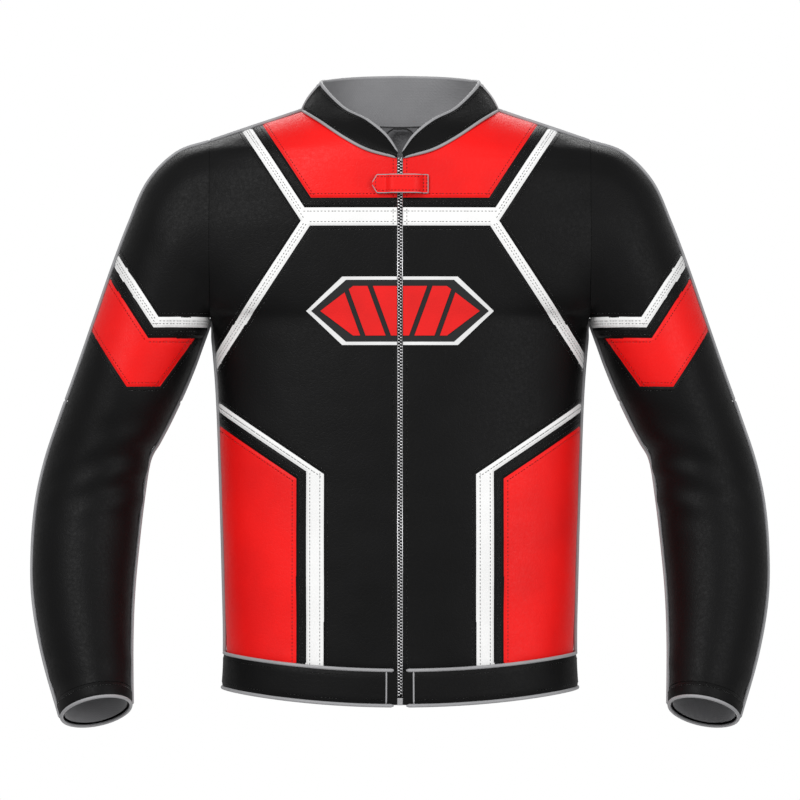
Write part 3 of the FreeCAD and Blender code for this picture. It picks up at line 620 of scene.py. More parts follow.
def leather(name, color, shade, rough=0.5, specular=0.35, grain=0.35):
    """Grained cowhide: pebbles a millimetre across, soft creases, uneven gloss and tone."""
    made = Finish(name)
    pebble = made.texture("Voronoi", {"feature": "SMOOTH_F1"}, Scale=780.0, Randomness=1.0)
    crease = made.texture("Voronoi", {"feature": "DISTANCE_TO_EDGE"}, Scale=190.0, Randomness=1.0)
    slow = made.texture("Noise", Scale=14.0, Detail=4.0, Roughness=0.55).outputs["Fac"]
    fine = made.texture("Noise", Scale=260.0, Detail=3.0, Roughness=0.6).outputs["Fac"]
    made.colour(made.mapped(slow, 0.32, 0.68, 0.0, 1.0), shade, color)
    made.roughness(fine, rough - 0.06, rough + 0.08)
    made.set(Specular_IOR_Level=specular, Sheen_Weight=0.0)
    edge = made.mapped(crease.outputs["Distance"], 0.0, 0.09, 0.0, 1.0)
    pebbles = pebble.outputs["Distance"]
    made.bumps((pebbles, grain, 0.0003), (edge, grain * 0.7, 0.0003), (slow, 0.25, 0.0012))
    return made.material


def woven(name, color, shade, scale=900.0, rough=0.75, sheen=0.25, bump=0.4):
    """Plain weave: warp and weft as two crossed wave patterns."""
    made = Finish(name)
    warp, weft = (
        made.texture("Wave", {"bands_direction": way}, Scale=scale / 6.0, Distortion=0.6)
        for way in ("DIAGONAL", "Z")
    )
    fuzz = made.texture("Noise", Scale=scale / 3.0, Detail=3.0)
    slow = made.texture("Noise", Scale=18.0, Detail=3.0)
    cross = made.add("Math", {"operation": "MULTIPLY"})
    made.link(warp.outputs["Fac"], cross.inputs[0])
    made.link(weft.outputs["Fac"], cross.inputs[1])
    made.colour(made.mapped(slow.outputs["Fac"], 0.3, 0.7, 0.0, 1.0), shade, color)
    made.roughness(fuzz.outputs["Fac"], rough - 0.08, rough + 0.08)
    made.set(Sheen_Weight=sheen, Specular_IOR_Level=0.25)
    made.bumps((cross.outputs["Value"], bump, 0.0003))
    return made.material


def metal(name, color, rough):
    """Nickel-plated zip metal with a faint tumbled finish."""
    made = Finish(name)
    scratch = made.texture("Noise", Scale=900.0, Detail=4.0).outputs["Fac"]
    slow = made.texture("Noise", Scale=60.0, Detail=2.0).outputs["Fac"]
    made.colour(slow, darker(color, 0.8), color)
    made.roughness(scratch, rough - 0.07, rough + 0.1)
    made.set(Metallic=1.0)
    made.bumps((scratch, 0.15, 0.0001))
    return made.material


def foam(name, color):
    """Moulded armour foam or soft rubber, closed-cell and dull."""
    made = Finish(name)
    cells = made.texture("Voronoi", Scale=420.0).outputs["Distance"]
    slow = made.texture("Noise", Scale=30.0, Detail=3.0).outputs["Fac"]
    made.colour(slow, darker(color, 0.7), color)
    made.set(Roughness=0.85)
    made.bumps((cells, 0.4, 0.0005))
    return made.material


BLACK = leather("leather_black", (0.0036, 0.0036, 0.0038), (0.0022, 0.0022, 0.0023), specular=0.13)
RED = leather("leather_red", (0.93, 0.004, 0.003), (0.80, 0.003, 0.003), specular=0.25)
WHITE = leather("leather_white", (0.93, 0.93, 0.925), (0.87, 0.87, 0.865), specular=0.3, grain=0.25)
PIPING = leather("piping_grey", (0.36, 0.36, 0.37), (0.30, 0.30, 0.31), rough=0.45, specular=0.4, grain=0.15)
LINING = woven("lining_grey", (0.30, 0.30, 0.31), (0.25, 0.25, 0.26), scale=1100.0, rough=0.62, sheen=0.35)
TAPE = woven("tape_black", (0.02, 0.02, 0.021), (0.013, 0.013, 0.014), scale=1400.0)
GRIP = woven("fastener_black", (0.025, 0.025, 0.026), (0.015, 0.015, 0.016), scale=600.0, rough=0.9, bump=0.9)
METAL = metal("zip_metal", (0.62, 0.62, 0.63), 0.34)
FOAM = foam("armour_foam", (0.09, 0.09, 0.1))
THREAD_BLACK = woven("thread_black", (0.03, 0.03, 0.031), (0.02, 0.02, 0.021), scale=2600.0, rough=0.55)
THREAD_RED = woven("thread_red", (0.80, 0.008, 0.006), (0.66, 0.005, 0.004), scale=2600.0, rough=0.6)
THREAD_WHITE = woven("thread_white", (0.86, 0.86, 0.85), (0.78, 0.78, 0.77), scale=2600.0, rough=0.6)
BADGE_WHITE = foam("badge_white", (0.92, 0.92, 0.92))
BADGE_BLACK = foam("badge_black", (0.012, 0.012, 0.013))
BADGE_RED = foam("badge_red", (0.90, 0.005, 0.004))

THREADS = {BLACK: THREAD_BLACK, RED: THREAD_RED, WHITE: THREAD_WHITE}

# ---- front-view outlines of the panels --------------------------------------------------

CENTRE = 3.4
# Outlines run out to these lines where a panel ends at the edge of the jacket instead of a seam.
FAR, SIDE_FAR, SLEEVE_NEAR = 420.0, 240.0, 200.0
PANEL_TOP, PANEL_LOW, SLEEVE_TOP, SLEEVE_SPLIT = 60.0, -700.0, 20.0, -308.0


def neck_line():
    """The neck seam from the zip to the shoulder point, in the front view."""
    return [tuple(through(COLLAR_ROWS, i / 4)[:2]) for i in range(COLLAR_SIDE * 4 + 1)]


def back_neck_line():
    last = len(COLLAR) - 1
    return [tuple(through(COLLAR_ROWS, last - i / 3)[:2]) for i in range(10)]


def chest_outlines(centre):
    lean, low, high, top = STRIPE_LEAN, YOKE_LOW, PANEL_TOP, STRIPE_TOP
    bottom = top - STRIPE_HIGH
    red = YOKE_X
    inner = red + EDGING_WIDE
    outer = inner + STRIPE_WIDE

    def up(x, z):
        return (x + lean * (z - low), z)

    kink = (outer + lean * (top - low) - 9, top - 14.6)
    reach, under = 330.0, STRIPE_WIDE + 0.6
    down_outer = (kink[0] + lean * reach, kink[1] - reach)
    down_inner = (down_outer[0] - under, down_outer[1])
    corner = (kink[0] - under - lean * (bottom - kink[1]), bottom)
    yoke = [(centre, low), (red, low), up(red, high), (centre, high)]
    edging = [(centre, low), (red, low), up(red, high), up(inner, high), up(inner, top), (centre, top)]
    stripe = [(centre, bottom), corner, down_inner, down_outer, kink, up(outer, high), up(inner, high)]
    stripe += [up(inner, top), (centre, top)]
    shoulder = [kink, down_outer, (FAR, down_outer[1]), (FAR, high), up(outer, high)]
    return yoke, edging, stripe, shoulder, corner, down_inner


def side_outlines():
    x0, x1 = SIDE_X, SIDE_X + SIDE_WIDE
    x2, floor, reach = x1 + SIDE_EDGING, PANEL_LOW, SIDE_FAR
    kinks = [(x0, SIDE_KINK), (x1, SIDE_KINK + 3), (x2, SIDE_KINK - 5)]
    far = [(reach, z + SIDE_SLOPE * (reach - x)) for x, z in kinks]
    stripe = [(x0, floor), kinks[0], far[0], far[1], kinks[1], (x1, floor)]
    edging = [(x1, floor), kinks[1], far[1], far[2], kinks[2], (x2, floor)]
    red = [(x2, floor), kinks[2], far[2], (reach, floor)]
    return stripe, edging, red, kinks[0], far[0]


def torso_outlines(centre):
    yoke, edging, stripe, shoulder, corner, down = chest_outlines(centre)
    side_stripe, side_edging, side_red, kink, far = side_outlines()
    main = [(centre, corner[1]), corner, down, far, kink, (kink[0], PANEL_LOW), (centre, PANEL_LOW)]
    return {
        "yoke": yoke,
        "yoke_edging": edging,
        "chest_stripe": stripe,
        "shoulder_panel": shoulder,
        "chest_panel": main,
        "side_stripe": side_stripe,
        "side_edging": side_edging,
        "side_panel": side_red,
    }


def sleeve_outlines():
    """The sleeve's bands above the split, each with a pointed outer half."""
    near, split = SLEEVE_NEAR, SLEEVE_SPLIT
    top, low, red_top, red_low, lean = -214.5, -226.0, -238.0, -292.0, 0.667
    top_kink, low_kink, red_kink, red_near = (269.0, top), (274.5, low), (280.5, red_top), (229.5, red_top)
    low_in, low_out = (268.5, red_low), (304.5, red_low)

    def up(x, z):
        return (FAR, z + (FAR - x) / lean)

    return {
        "sleeve_cap": [(near, SLEEVE_TOP), (near, top), top_kink, up(*top_kink), (FAR, SLEEVE_TOP)],
        "sleeve_stripe": [(near, top), (near, low), low_kink, up(*low_kink), up(*top_kink), top_kink],
        "sleeve_chevron": [red_near, low_in, low_out, up(*low_out), up(*red_kink), red_kink],
        "above": [(near, low), (near, red_top), red_near, red_kink, up(*red_kink), up(*low_kink), low_kink],
        "below": [(near, red_top), (near, split), (FAR, split), up(*low_out), low_out, low_in, red_near],
    }


def corners_of(a, b):
    """A segment's ends, rounded so that two outlines' shared edge is the same edge."""
    return ((round(a[0], 3), round(a[1], 3)), (round(b[0], 3), round(b[1], 3)))


def inner_segments(outlines):
    """Every edge of the outlines that is a seam, leaving out the frame around the jacket."""
    found = set()
    for outline in outlines.values():
        for a, b in segments_of(outline):
            if a[0] == b[0] and abs(a[0]) in (FAR, SIDE_FAR, SLEEVE_NEAR):
                continue
            if a[1] == b[1] and a[1] in (PANEL_LOW, PANEL_TOP, SLEEVE_TOP, SLEEVE_SPLIT):
                continue
            found.add(tuple(sorted(corners_of(a, b))))
    return [s for s in found if math.dist(*s) > 0.01]


PANEL_LOOK = {
    "yoke": RED,
    "yoke_edging": BLACK,
    "chest_stripe": WHITE,
    "shoulder_panel": BLACK,
    "chest_panel": BLACK,
    "side_stripe": WHITE,
    "side_edging": BLACK,
    "side_panel": RED,
}


# ---- torso -----------------------------------------------------------------------------


def rows_of_torso():
    """Heights of the torso's rows, closer together towards the shoulder and the neck."""
    return spread(-613, -236, 76) + spread(-231, -60, 44) + spread(-57, 19.5, 48)


def armpit_folds(p):
    """Short creases that run out of the armpit."""
    x, z = abs(p.x) - ARMHOLE_X, p.z - ARMHOLE_LOW
    near = math.exp(-((x / 42) ** 2) - ((z - 12) / 46) ** 2)
    angle = math.atan2(z + 30, -x + 60)
    return near * 1.6 * math.sin(9.0 * angle + 0.02 * p.y)


def waist_folds(p):
    """Gathers above the waistband, strongest at the sides."""
    near = smooth(-p.z, 470, 590)
    return near * 0.9 * math.sin(p.x / 17.0 + 1.2 * math.sin(p.z / 40.0)) * smooth(abs(p.x), 20, 120)


def torso_extra(p):
    """Folds, fading to a tucked-under edge below the waist seam."""
    seam = waist_z(p.x, WAIST_SIDE) if p.y < -90 else WAIST_SIDE
    under = smooth(seam + 4 - p.z, 0, 7)
    return (armpit_folds(p) + waist_folds(p)) * (1 - under) - under * (1.9 + folds(p))


def panel_piece(source, name, outline, material, seams, keep, sides, mirror_merge=False):
    """One leather panel with thickness and topstitching, cut from the relieved surface."""
    bm, normals = pick(source, lambda c: keep(c) and inside(c.x, c.z, outline))
    if not bm.verts:
        bm.free()
        return None
    bmesh.ops.triangulate(bm, faces=[f for f in bm.faces if len(f.verts) > 4])
    if mirror_merge:
        normals = mirror_merged(bm, normals)
    tree = BVHTree.FromBMesh(bm)
    normals = thicken(bm, normals, LEATHER)
    around = [s for s in seams if near_outline(s, outline)]

    def test(x, z):
        return inside(abs(x) if mirror_merge else x, z, outline)

    stitch_segments(bm, normals, tree, around, test, sides)
    if mirror_merge:
        flipped = [((-a[0], a[1]), (-b[0], b[1])) for a, b in around]
        stitch_segments(bm, normals, tree, flipped, test, sides)
    return to_object(name, bm, [material, THREADS[material]], normals)


def near_outline(segment, outline):
    """Whether the segment is one of the outline's own edges."""
    return any(set(segment) == set(corners_of(a, b)) for a, b in segments_of(outline))


def neck_block(line):
    """The front view of everything inside a neck seam, which the panels stop at."""
    return line + [(110.0, 60.0), (-20.0, 60.0), (-20.0, line[0][1])]


def runs_of(line):
    return list(zip(line, line[1:]))


def torso_sheet(start, seams, neck, below):
    """A quarter of the torso, from the middle at turn start to the side, cut and relieved."""
    bm = grid(torso, spread(start, 90.0, 62), rows_of_torso())
    if start:
        flip(bm)
    cut_along(bm, seams, CUTS)
    cut_along(bm, runs_of(neck), (0.0, below * 1.2, below * 3.0))
    cut_along(bm, [((ARMHOLE_EDGE, 60.0), (ARMHOLE_EDGE, -260.0))], (0.0,))
    relieve(bm, seams + runs_of(neck), torso_extra)
    return bm


def make_torso():
    """Left front panels under their own names, and the back's under name_back."""
    made = {}
    lines = torso_outlines(CENTRE)
    seams = inner_segments(lines)
    neck = neck_line()
    front = torso_sheet(0.0, seams, neck, -1)
    hole = neck_block(neck)

    def in_front(c):
        return CENTRE < c.x < ARMHOLE_EDGE and not inside(c.x, c.z, hole)

    back_lines = torso_outlines(0.0)
    back_seams = [s for s in inner_segments(back_lines) if not (s[0][0] == 0 and s[1][0] == 0)]
    behind = back_neck_line()
    back = torso_sheet(180.0, back_seams, behind, 1)
    back_hole = neck_block(behind)
    for v in back.verts:
        if abs(v.co.x) < 0.05:
            v.co.x = 0.0

    def in_back(c):
        return c.x < ARMHOLE_EDGE and not inside(c.x, c.z, back_hole)

    for name, outline in lines.items():
        look = PANEL_LOOK[name]
        made[name] = panel_piece(front, f"{name}_front_left", outline, look, seams, in_front, (-1,))
    for name, outline in back_lines.items():
        merge = name in ("yoke", "yoke_edging", "chest_stripe", "chest_panel")
        made[f"{name}_back"] = panel_piece(
            back, f"{name}_back_left", outline, PANEL_LOOK[name], back_seams, in_back, (1,), merge
        )
    front.free()
    back.free()
    return made


def finish_piece(piece, body, nodes=()):
    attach(piece, body)
    if nodes:
        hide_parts(*nodes)
    return piece


def both(piece, name):
    """The piece as the left one, and its mirror image as the right one. name has {} for the side."""
    other = mirror_piece(piece, name.format("right"))
    piece.name = name.format("left")
    return (("left", piece), ("right", other))


def place_pair(piece, name, node_name=None, body="torso", bend=None):
    """Places a left piece and its mirror image on a body, or hands each to bend instead."""
    for side, one in both(piece, name):
        if bend:
            bend(one, side)
        else:
            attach(one, body.format(side))
        if node_name:
            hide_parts(f"{node_name}_{side}")


def place_torso():
    made = make_torso()
    for name in ("yoke", "chest_stripe", "chest_panel"):
        place_pair(made[name], f"{name}_{{}}_leather", name)
    backs = {"yoke": "back_yoke", "chest_stripe": "back_stripe", "chest_panel": "back_panel"}
    for name, node_name in backs.items():
        piece = made[f"{name}_back"]
        piece.name = f"{node_name}_leather"
        finish_piece(piece, "torso", [node_name])
    edging = made["yoke_edging"]
    other = mirror_piece(edging, "yoke_edging_other")
    whole = join("yoke_edging_leather", [edging, other, made["yoke_edging_back"]])
    finish_piece(whole, "torso", ["yoke_edging"])
    for name in ("shoulder_panel", "side_stripe", "side_panel"):
        left = join(f"{name}_left_leather", [made[name], made[f"{name}_back"]])
        place_pair(left, f"{name}_{{}}_leather", name)
    left = join("side_edging_one", [made["side_edging"], made["side_edging_back"]])
    whole = join("side_edging_leather", [left, mirror_piece(left, "side_edging_two")])
    finish_piece(whole, "torso", ["side_edging"])


# ---- sleeves ---------------------------------------------------------------------------

SLEEVE_LOOK = {
    "sleeve_cap": BLACK,
    "sleeve_stripe": WHITE,
    "sleeve_chevron": RED,
    "above": BLACK,
    "below": BLACK,
}


def sleeve_extra(p):
    """Armpit creases, and folds round the inside of the elbow."""
    x = abs(p.x)
    elbow = math.exp(-(((p.z + 392) / 52) ** 2))
    inner = smooth(345 - x, 0, 45) + 0.45 * smooth(-p.y, 95, 135)
    ripples = math.sin((p.z + 0.35 * (x - 283)) / 5.6 + 0.8 * math.sin(p.y / 19.0))
    wrist = math.exp(-(((p.z + 625) / 34) ** 2)) * 0.8 * math.sin(p.z / 6.2 + p.y / 24.0 + x / 31.0)
    return armpit_folds(p) * 0.8 + 1.5 * elbow * inner * ripples + wrist


def make_sleeve():
    outlines = sleeve_outlines()
    seams = inner_segments(outlines)
    turns = [360.0 * i / 96 for i in range(96)]
    rings = spread(0.004, 3.0, 30) + spread(3.08, CUFF_RING, 130)
    rings = [r for r in rings if r < CUFF_RING - 0.16]
    whole = grid(sleeve, turns, rings, closed=True)
    outward_from(whole, sleeve_axis)
    cut_along(whole, seams, CUTS)
    cut_along(whole, [((SLEEVE_NEAR, SLEEVE_SPLIT), (FAR, SLEEVE_SPLIT))], (0.0,))
    relieve(whole, seams, sleeve_extra)
    made = {}
    for name, outline in outlines.items():
        look = SLEEVE_LOOK[name]
        made[name] = panel_piece(whole, name, outline, look, seams, lambda c: c.z > SLEEVE_SPLIT, (-1, 1))
    lower = [(SLEEVE_NEAR, SLEEVE_SPLIT), (SLEEVE_NEAR, -720), (FAR, -720), (FAR, SLEEVE_SPLIT)]
    made["lower"] = panel_piece(whole, "lower", lower, BLACK, [], lambda c: True, (-1, 1))
    whole.free()
    return made


def blend_shoulder(piece, side):
    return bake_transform(piece)


def blend_elbow(piece, side):
    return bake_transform(piece)


def place_sleeves():
    made = make_sleeve()
    middle = join("middle", [made["above"], made["below"]])
    plan = (
        ("sleeve_cap", made["sleeve_cap"], BLACK),
        ("sleeve_stripe", made["sleeve_stripe"], WHITE),
        ("sleeve_chevron", made["sleeve_chevron"], RED),
        ("sleeve_middle", middle, BLACK),
    )
    for name, piece, look in plan:
        place_pair(piece, f"{name}_leather_{{}}", name, bend=blend_shoulder)
    place_pair(made["lower"], "sleeve_lower_leather_{}", "forearm", bend=blend_elbow)


# ---- lining ----------------------------------------------------------------------------


def shell(name, surface, us, vs, outer, inner, material, centre_of, closed=False, stitches=()):
    """A closed solid over a grid of a surface: outer and inner give its faces' heights."""
    bm = grid(surface, us, vs, closed)
    outward_from(bm, centre_of)
    verts = list(bm.verts)
    normals = [v.normal.copy() for v in verts]
    places = [(u, v) for u in us for v in vs]
    for vert, normal, place in zip(verts, normals, places):
        vert.co += normal * outer(*place)
    bm.normal_update()
    thick = [outer(*place) - inner(*place) for place in places]
    normals = thicken(bm, [v.normal.copy() for v in verts], thick)
    for path in stitches:
        stitch_path(bm, normals, path)
    return to_object(name, bm, [material, THREADS.get(material, THREAD_BLACK)], normals)


def stitch_path(bm, normals, path):
    """Stitches along a list of (point, outward direction) pairs."""
    walked = STITCH_PITCH * 0.5
    for (a, out), (b, _) in zip(path, path[1:]):
        length = (b - a).length
        if length < 1e-6:
            continue
        along = (b - a) / length
        spot = STITCH_PITCH - walked
        while spot <= length:
            add_stitch(bm, a + along * spot, along, out, normals)
            spot += STITCH_PITCH
        walked = (walked + length) % STITCH_PITCH


def path_on(surface, places, lift, centre_of):
    """Points of a surface at the given (u, v) places, lifted outward, with directions."""
    found = []
    for u, v in places:
        p = surface(u, v)
        du = surface(u + 0.01, v) - surface(u - 0.01, v)
        dv = surface(u, v + 0.01) - surface(u, v - 0.01)
        n = du.cross(dv).normalized()
        if n.dot(p - centre_of(p)) < 0:
            n = -n
        found.append((p + n * lift, n))
    return found


def body_depth(z):
    return 2.2 + 1.8 * smooth(-z, -2, 30) + 9.5 * smooth(z, -640, -550) * smooth(-z, 40, 100)


def sleeve_depth(ring):
    return 3.6 + 9.4 * smooth(CUFF_RING - ring, 0, 2.5)


def mirror_merged(bm, normals):
    """Adds the mirror image of a half sheet and welds it along the middle."""
    count = len(bm.verts)
    firsts = list(bm.verts)
    faces = list(bm.faces)
    twins = [bm.verts.new((-v.co.x, v.co.y, v.co.z)) for v in firsts]
    order = {v: i for i, v in enumerate(firsts)}
    for face in faces:
        bm.faces.new([twins[order[v]] for v in reversed(face.verts)])
    all_normals = list(normals) + [Vector((-n.x, n.y, n.z)) for n in normals]
    doomed = {}
    for i, v in enumerate(firsts):
        if abs(v.co.x) < 1e-3:
            v.co.x = 0.0
            all_normals[i] = Vector((0, normals[i].y, normals[i].z)).normalized()
            doomed[twins[i]] = v
    kept = [n for i, n in enumerate(all_normals) if i < count or twins[i - count] not in doomed]
    bmesh.ops.weld_verts(bm, targetmap=doomed)
    return kept


def body_lining():
    heights = spread(-622, -60, 84) + spread(-56, 19, 44)
    bm = grid(torso, spread(3.2, 180.0, 84), heights)
    outward_from(bm, torso_centre)
    neck, behind = neck_line(), back_neck_line()
    cut_along(bm, runs_of(neck), (0.0,))
    cut_along(bm, runs_of(behind), (0.0,))
    front_hole, back_hole = neck_block(neck), neck_block(behind)

    def keep(c):
        hole = front_hole if c.y < torso_section(min(19.0, c.z))[1] else back_hole
        return c.x < ARMHOLE_X - 1.5 and c.x > 14.0 * (c.y < -60) and not inside(c.x, c.z, hole)

    sheet, normals = pick(bm, keep)
    bm.free()
    for v, n in zip(sheet.verts, normals):
        ripple = 1.4 * noise.noise(v.co / 34.0) * smooth(-v.co.z, 60, 140)
        v.co -= n * (body_depth(v.co.z) + ripple)
        if abs(v.co.x) < 0.4:
            v.co.x = 0.0
    normals = mirror_merged(sheet, normals)
    normals = thicken(sheet, normals, 1.0)
    piece = to_object("body_lining_cloth", sheet, [LINING], normals)
    finish_piece(piece, "torso", ["body_lining"])


def sleeve_lining():
    turns = [360.0 * i / 72 for i in range(72)]

    def lining(name, first, last, count):
        rings = spread(first, last, count)
        bm = grid(sleeve, turns, rings, closed=True)
        outward_from(bm, sleeve_axis)
        verts = list(bm.verts)
        normals = [v.normal.copy() for v in verts]
        for i, (v, n) in enumerate(zip(verts, normals)):
            ring = rings[i % count]
            v.co -= n * (sleeve_depth(ring) + 0.8 * noise.noise(v.co / 30.0))
        normals = thicken(bm, normals, 1.0)
        return to_object(name, bm, [LINING], normals)

    place_pair(lining("upper_lining", 0.6, 5.2, 34), "upper_sleeve_lining_cloth_{}",
               "upper_sleeve_lining", bend=blend_shoulder)
    place_pair(lining("lower_lining", 5.2, CUFF_RING - 0.03, 70), "forearm_lining_cloth_{}",
               "forearm_lining", bend=blend_elbow)


# ---- collar, waistband and cuffs ----------------------------------------------------------


def collar_centre(p):
    return Vector((0, -70, p.z))


COLLAR_LAST = 2 * (len(COLLAR) - 1)


def collar_bands():
    ats, rises = spread(0.03, COLLAR_LAST - 0.03, 190), spread(0.015, 0.975, 18)

    def puff(at, rise):
        edge = smooth(rise, 0.0, 0.12) * smooth(1 - rise, 0.0, 0.12)
        return 0.5 + 1.3 * edge + 0.35 * noise.noise(Vector((at * 1.3, rise * 2.0, 4.4)))

    rows = []
    for rise in (0.14, 0.86):
        places = [(at, rise) for at in spread(0.35, COLLAR_LAST - 0.35, 420)]
        rows.append(path_on(collar, places, 1.85, collar_centre))
    band = shell("collar_leather", collar, ats, rises, puff, lambda at, rise: -0.4, BLACK, collar_centre,
                 stitches=rows)
    finish_piece(band, "torso", ["collar"])

    def lining_point(at, rise):
        """The collar's surface, carried down inside the seam at the back of the neck."""
        behind = smooth(min(at, COLLAR_LAST - at), 4.3, 5.2)
        return collar(at, rise - 0.10 * behind * (1 - rise) ** 8)

    def lining_out(at, rise):
        behind = smooth(min(at, COLLAR_LAST - at), 4.3, 5.2)
        return -0.6 - 1.8 * behind * (1 - rise) ** 8

    inner = shell(
        "collar_lining_cloth", lining_point, spread(0.12, COLLAR_LAST - 0.12, 170), spread(0.0, 0.975, 24),
        lining_out, lambda a, r: lining_out(a, r) - 1.4, LINING, collar_centre,
    )
    finish_piece(inner, "torso", ["collar_lining"])


def band_point(turn, share):
    """The waistband's surface: share is 0 at the waist seam and 1 at the hem."""
    level = WAIST_SIDE + (HEM_SIDE - WAIST_SIDE) * share
    p = torso(turn, level)
    if math.cos(math.radians(turn)) > 0:
        p = torso(turn, waist_z(p.x, level))
    return p


def band_puff(share):
    edge = smooth(share, 0.0, 0.18) * smooth(1 - share, 0.0, 0.18)
    return 1.5 + 1.5 * edge


def turn_at(x, level):
    """The turn, between 0 and 90, where the torso's front has half width x."""
    wide, _, _, n = torso_section(level)
    return math.degrees(math.asin(min(1.0, (x / wide) ** (n / 2))))


TAB_EDGE, BAND_MIDDLE = 15.0, -600


def waist_bands():
    shares = spread(0.02, 0.98, 13)
    outer = lambda turn, share: band_puff(share) + 0.5 * noise.noise(Vector((turn / 9.0, share, 1.7)))
    inner = lambda turn, share: -1.8
    first, last = turn_at(TAB_EDGE + 0.7, BAND_MIDDLE), 89.6

    def rows(low, high):
        found = []
        for share in (0.16, 0.84):
            places = [(t, share) for t in spread(low + 0.5, high - 0.5, 300)]
            found.append(path_on(band_point, places, 2.55, torso_centre))
        return found


    def band(name, low, high, count):
        return shell(name, band_point, spread(low, high, count), shares, outer, inner, BLACK, torso_centre,
                     stitches=rows(low, high))

    left = band("waistband_l", first, last, 64)
    place_pair(left, "waistband_leather_{}", "waistband")
    back = band("waistband_back_leather", 180 - last, 180 + last, 128)
    finish_piece(back, "torso", ["waistband_back"])
    low, high = turn_at(CENTRE, BAND_MIDDLE), turn_at(TAB_EDGE - 0.7, BAND_MIDDLE)
    flat = lambda turn, share: 0.5 + 0.5 * smooth(share, 0.0, 0.15) * smooth(1 - share, 0.0, 0.15)
    tab = shell("tab_l", band_point, spread(low, high, 10), shares, flat, inner, BLACK, torso_centre)
    whole = join("waistband_tabs_leather", [tab, mirror_piece(tab, "tab_r")])
    finish_piece(whole, "torso", ["waistband_tabs"])


CUFF_START = CUFF_RING - 0.22


def cuffs():
    turns = [360.0 * i / 96 for i in range(96)]
    rings = spread(CUFF_START, CUFF_RING - 0.005, 9)
    middle = (sleeve(0, CUFF_RING) + sleeve(180, CUFF_RING)) / 2
    aim = (sleeve(0, CUFF_START) + sleeve(180, CUFF_START)) / 2
    centre = (middle + aim) / 2

    def outer(turn, ring):
        share = (ring - CUFF_START) / (CUFF_RING - CUFF_START)
        return 0.5 + 1.1 * smooth(share, 0, 0.25) * smooth(1 - share, 0, 0.25)

    places = [(t, CUFF_START + 0.05) for t in spread(0, 360, 240)]
    row = path_on(sleeve, places, 1.5, lambda p: centre)
    band = shell("cuff_l", sleeve, turns, rings, outer, lambda turn, ring: -2.6, BLACK, lambda p: centre,
                 closed=True, stitches=[row])
    place_pair(band, "cuff_leather_{}", "cuff", body="{}_forearm")


# ---- piping ------------------------------------------------------------------------------

CORD_R, CORD_OUT = 2.1, 1.3
SLIDER_CLEAR = 6.8


def seam_cord(name, surface, places, centre_of, out=CORD_OUT, radius=CORD_R, closed=False):
    points = [p for p, _ in path_on(surface, places, out, centre_of)]
    return tube(name, points if closed else smooth_path(points, 3.0), radius, closed)


def ring_where(turn, z):
    """The sleeve ring whose point at this turn has the given height."""
    low, high = 0.0, float(CUFF_RING)
    for _ in range(40):
        middle = (low + high) / 2
        if sleeve(turn, middle).z > z:
            low = middle
        else:
            high = middle
    return low


def piping():
    pieces = []
    collar_runs = (("cord_top", 0.03, 0.985, 0.0, CORD_R), ("cord_neck", 0.02, 0.0, 0.9, 1.7))
    for name, end, rise, out, radius in collar_runs:
        places = [(at, rise) for at in spread(end, COLLAR_LAST - end, 260)]
        pieces.append(seam_cord(name, collar, places, collar_centre, out, radius))
    for at in (COLLAR_SIDE + 0.03, COLLAR_LAST - COLLAR_SIDE - 0.03):
        places = [(at, rise) for rise in spread(0.0, 0.98, 40)]
        pieces.append(seam_cord("cord_collar", collar, places, collar_centre, 1.6, 1.6))
    edge = turn_at(SLIDER_CLEAR, BAND_MIDDLE)
    for name, share in (("cord_waist", 0.0), ("cord_hem", 1.0)):
        places = [(t, share) for t in spread(edge, 360 - edge, 420)]
        pieces.append(seam_cord(name, band_point, places, torso_centre, 1.6, 2.0))
    tab_turn = turn_at(TAB_EDGE, BAND_MIDDLE)
    for turn in (tab_turn, 360 - tab_turn):
        places = [(turn, s) for s in spread(0.03, 0.97, 20)]
        pieces.append(seam_cord("cord_tab", band_point, places, torso_centre, 2.2, 1.0))
    for turn in (90, 270):
        places = [(turn, z) for z in spread(-592, ARMHOLE_LOW - 2, 120)]
        pieces.append(seam_cord("cord_side", torso, places, torso_centre))
        places = [(turn, z) for z in spread(ARMHOLE_TOP - 0.3, 19.4, 40)]
        pieces.append(seam_cord("cord_shoulder", torso, places, lambda p: Vector((p.x * 0.9, p.y, p.z - 50))))
    finish_piece(join("body_piping", pieces), "torso", ["trim_piping"])

    def sleeve_cord(turn, first, last):
        places = [(turn, r) for r in spread(first, last, 200)]
        middle = sleeve(180 - turn, (first + last) / 2)
        return seam_cord("cord", sleeve, places, lambda p: middle)

    uppers, lowers = [], []
    for turn in (0, 180):
        split = ring_where(turn, SLEEVE_SPLIT)
        uppers.append(sleeve_cord(turn, 0.0, split))
        lowers.append(sleeve_cord(turn, split - 0.015, CUFF_RING))
    place_pair(join("upper_cords", uppers), "upper_sleeve_piping_{}", bend=blend_shoulder)
    place_pair(join("lower_cords", lowers), "lower_sleeve_piping_{}", bend=blend_elbow)
    middle = (sleeve(0, CUFF_RING) + sleeve(180, CUFF_RING)) / 2
    places = [(t, CUFF_RING) for t in [360.0 * i / 120 for i in range(120)]]
    above = middle + Vector((0, 0, 30))
    cord = seam_cord("cuff_cord", sleeve, places, lambda p: above, 0.0, 1.9, closed=True)
    place_pair(cord, "cuff_piping_{}", body="{}_forearm")


# ---- zip, throat tab, badge and hang loop ----------------------------------------------------


def into_zip_frame(*pieces):
    """Takes finished pieces from the zip's frame, where z runs up the zip line, to the jacket's."""
    for piece in pieces:
        piece.data.transform(Matrix.Scale(MM, 4) @ ZIP_FRAME @ Matrix.Scale(1 / MM, 4))


def facing_front(p):
    return Vector((p.x, 60, p.z))


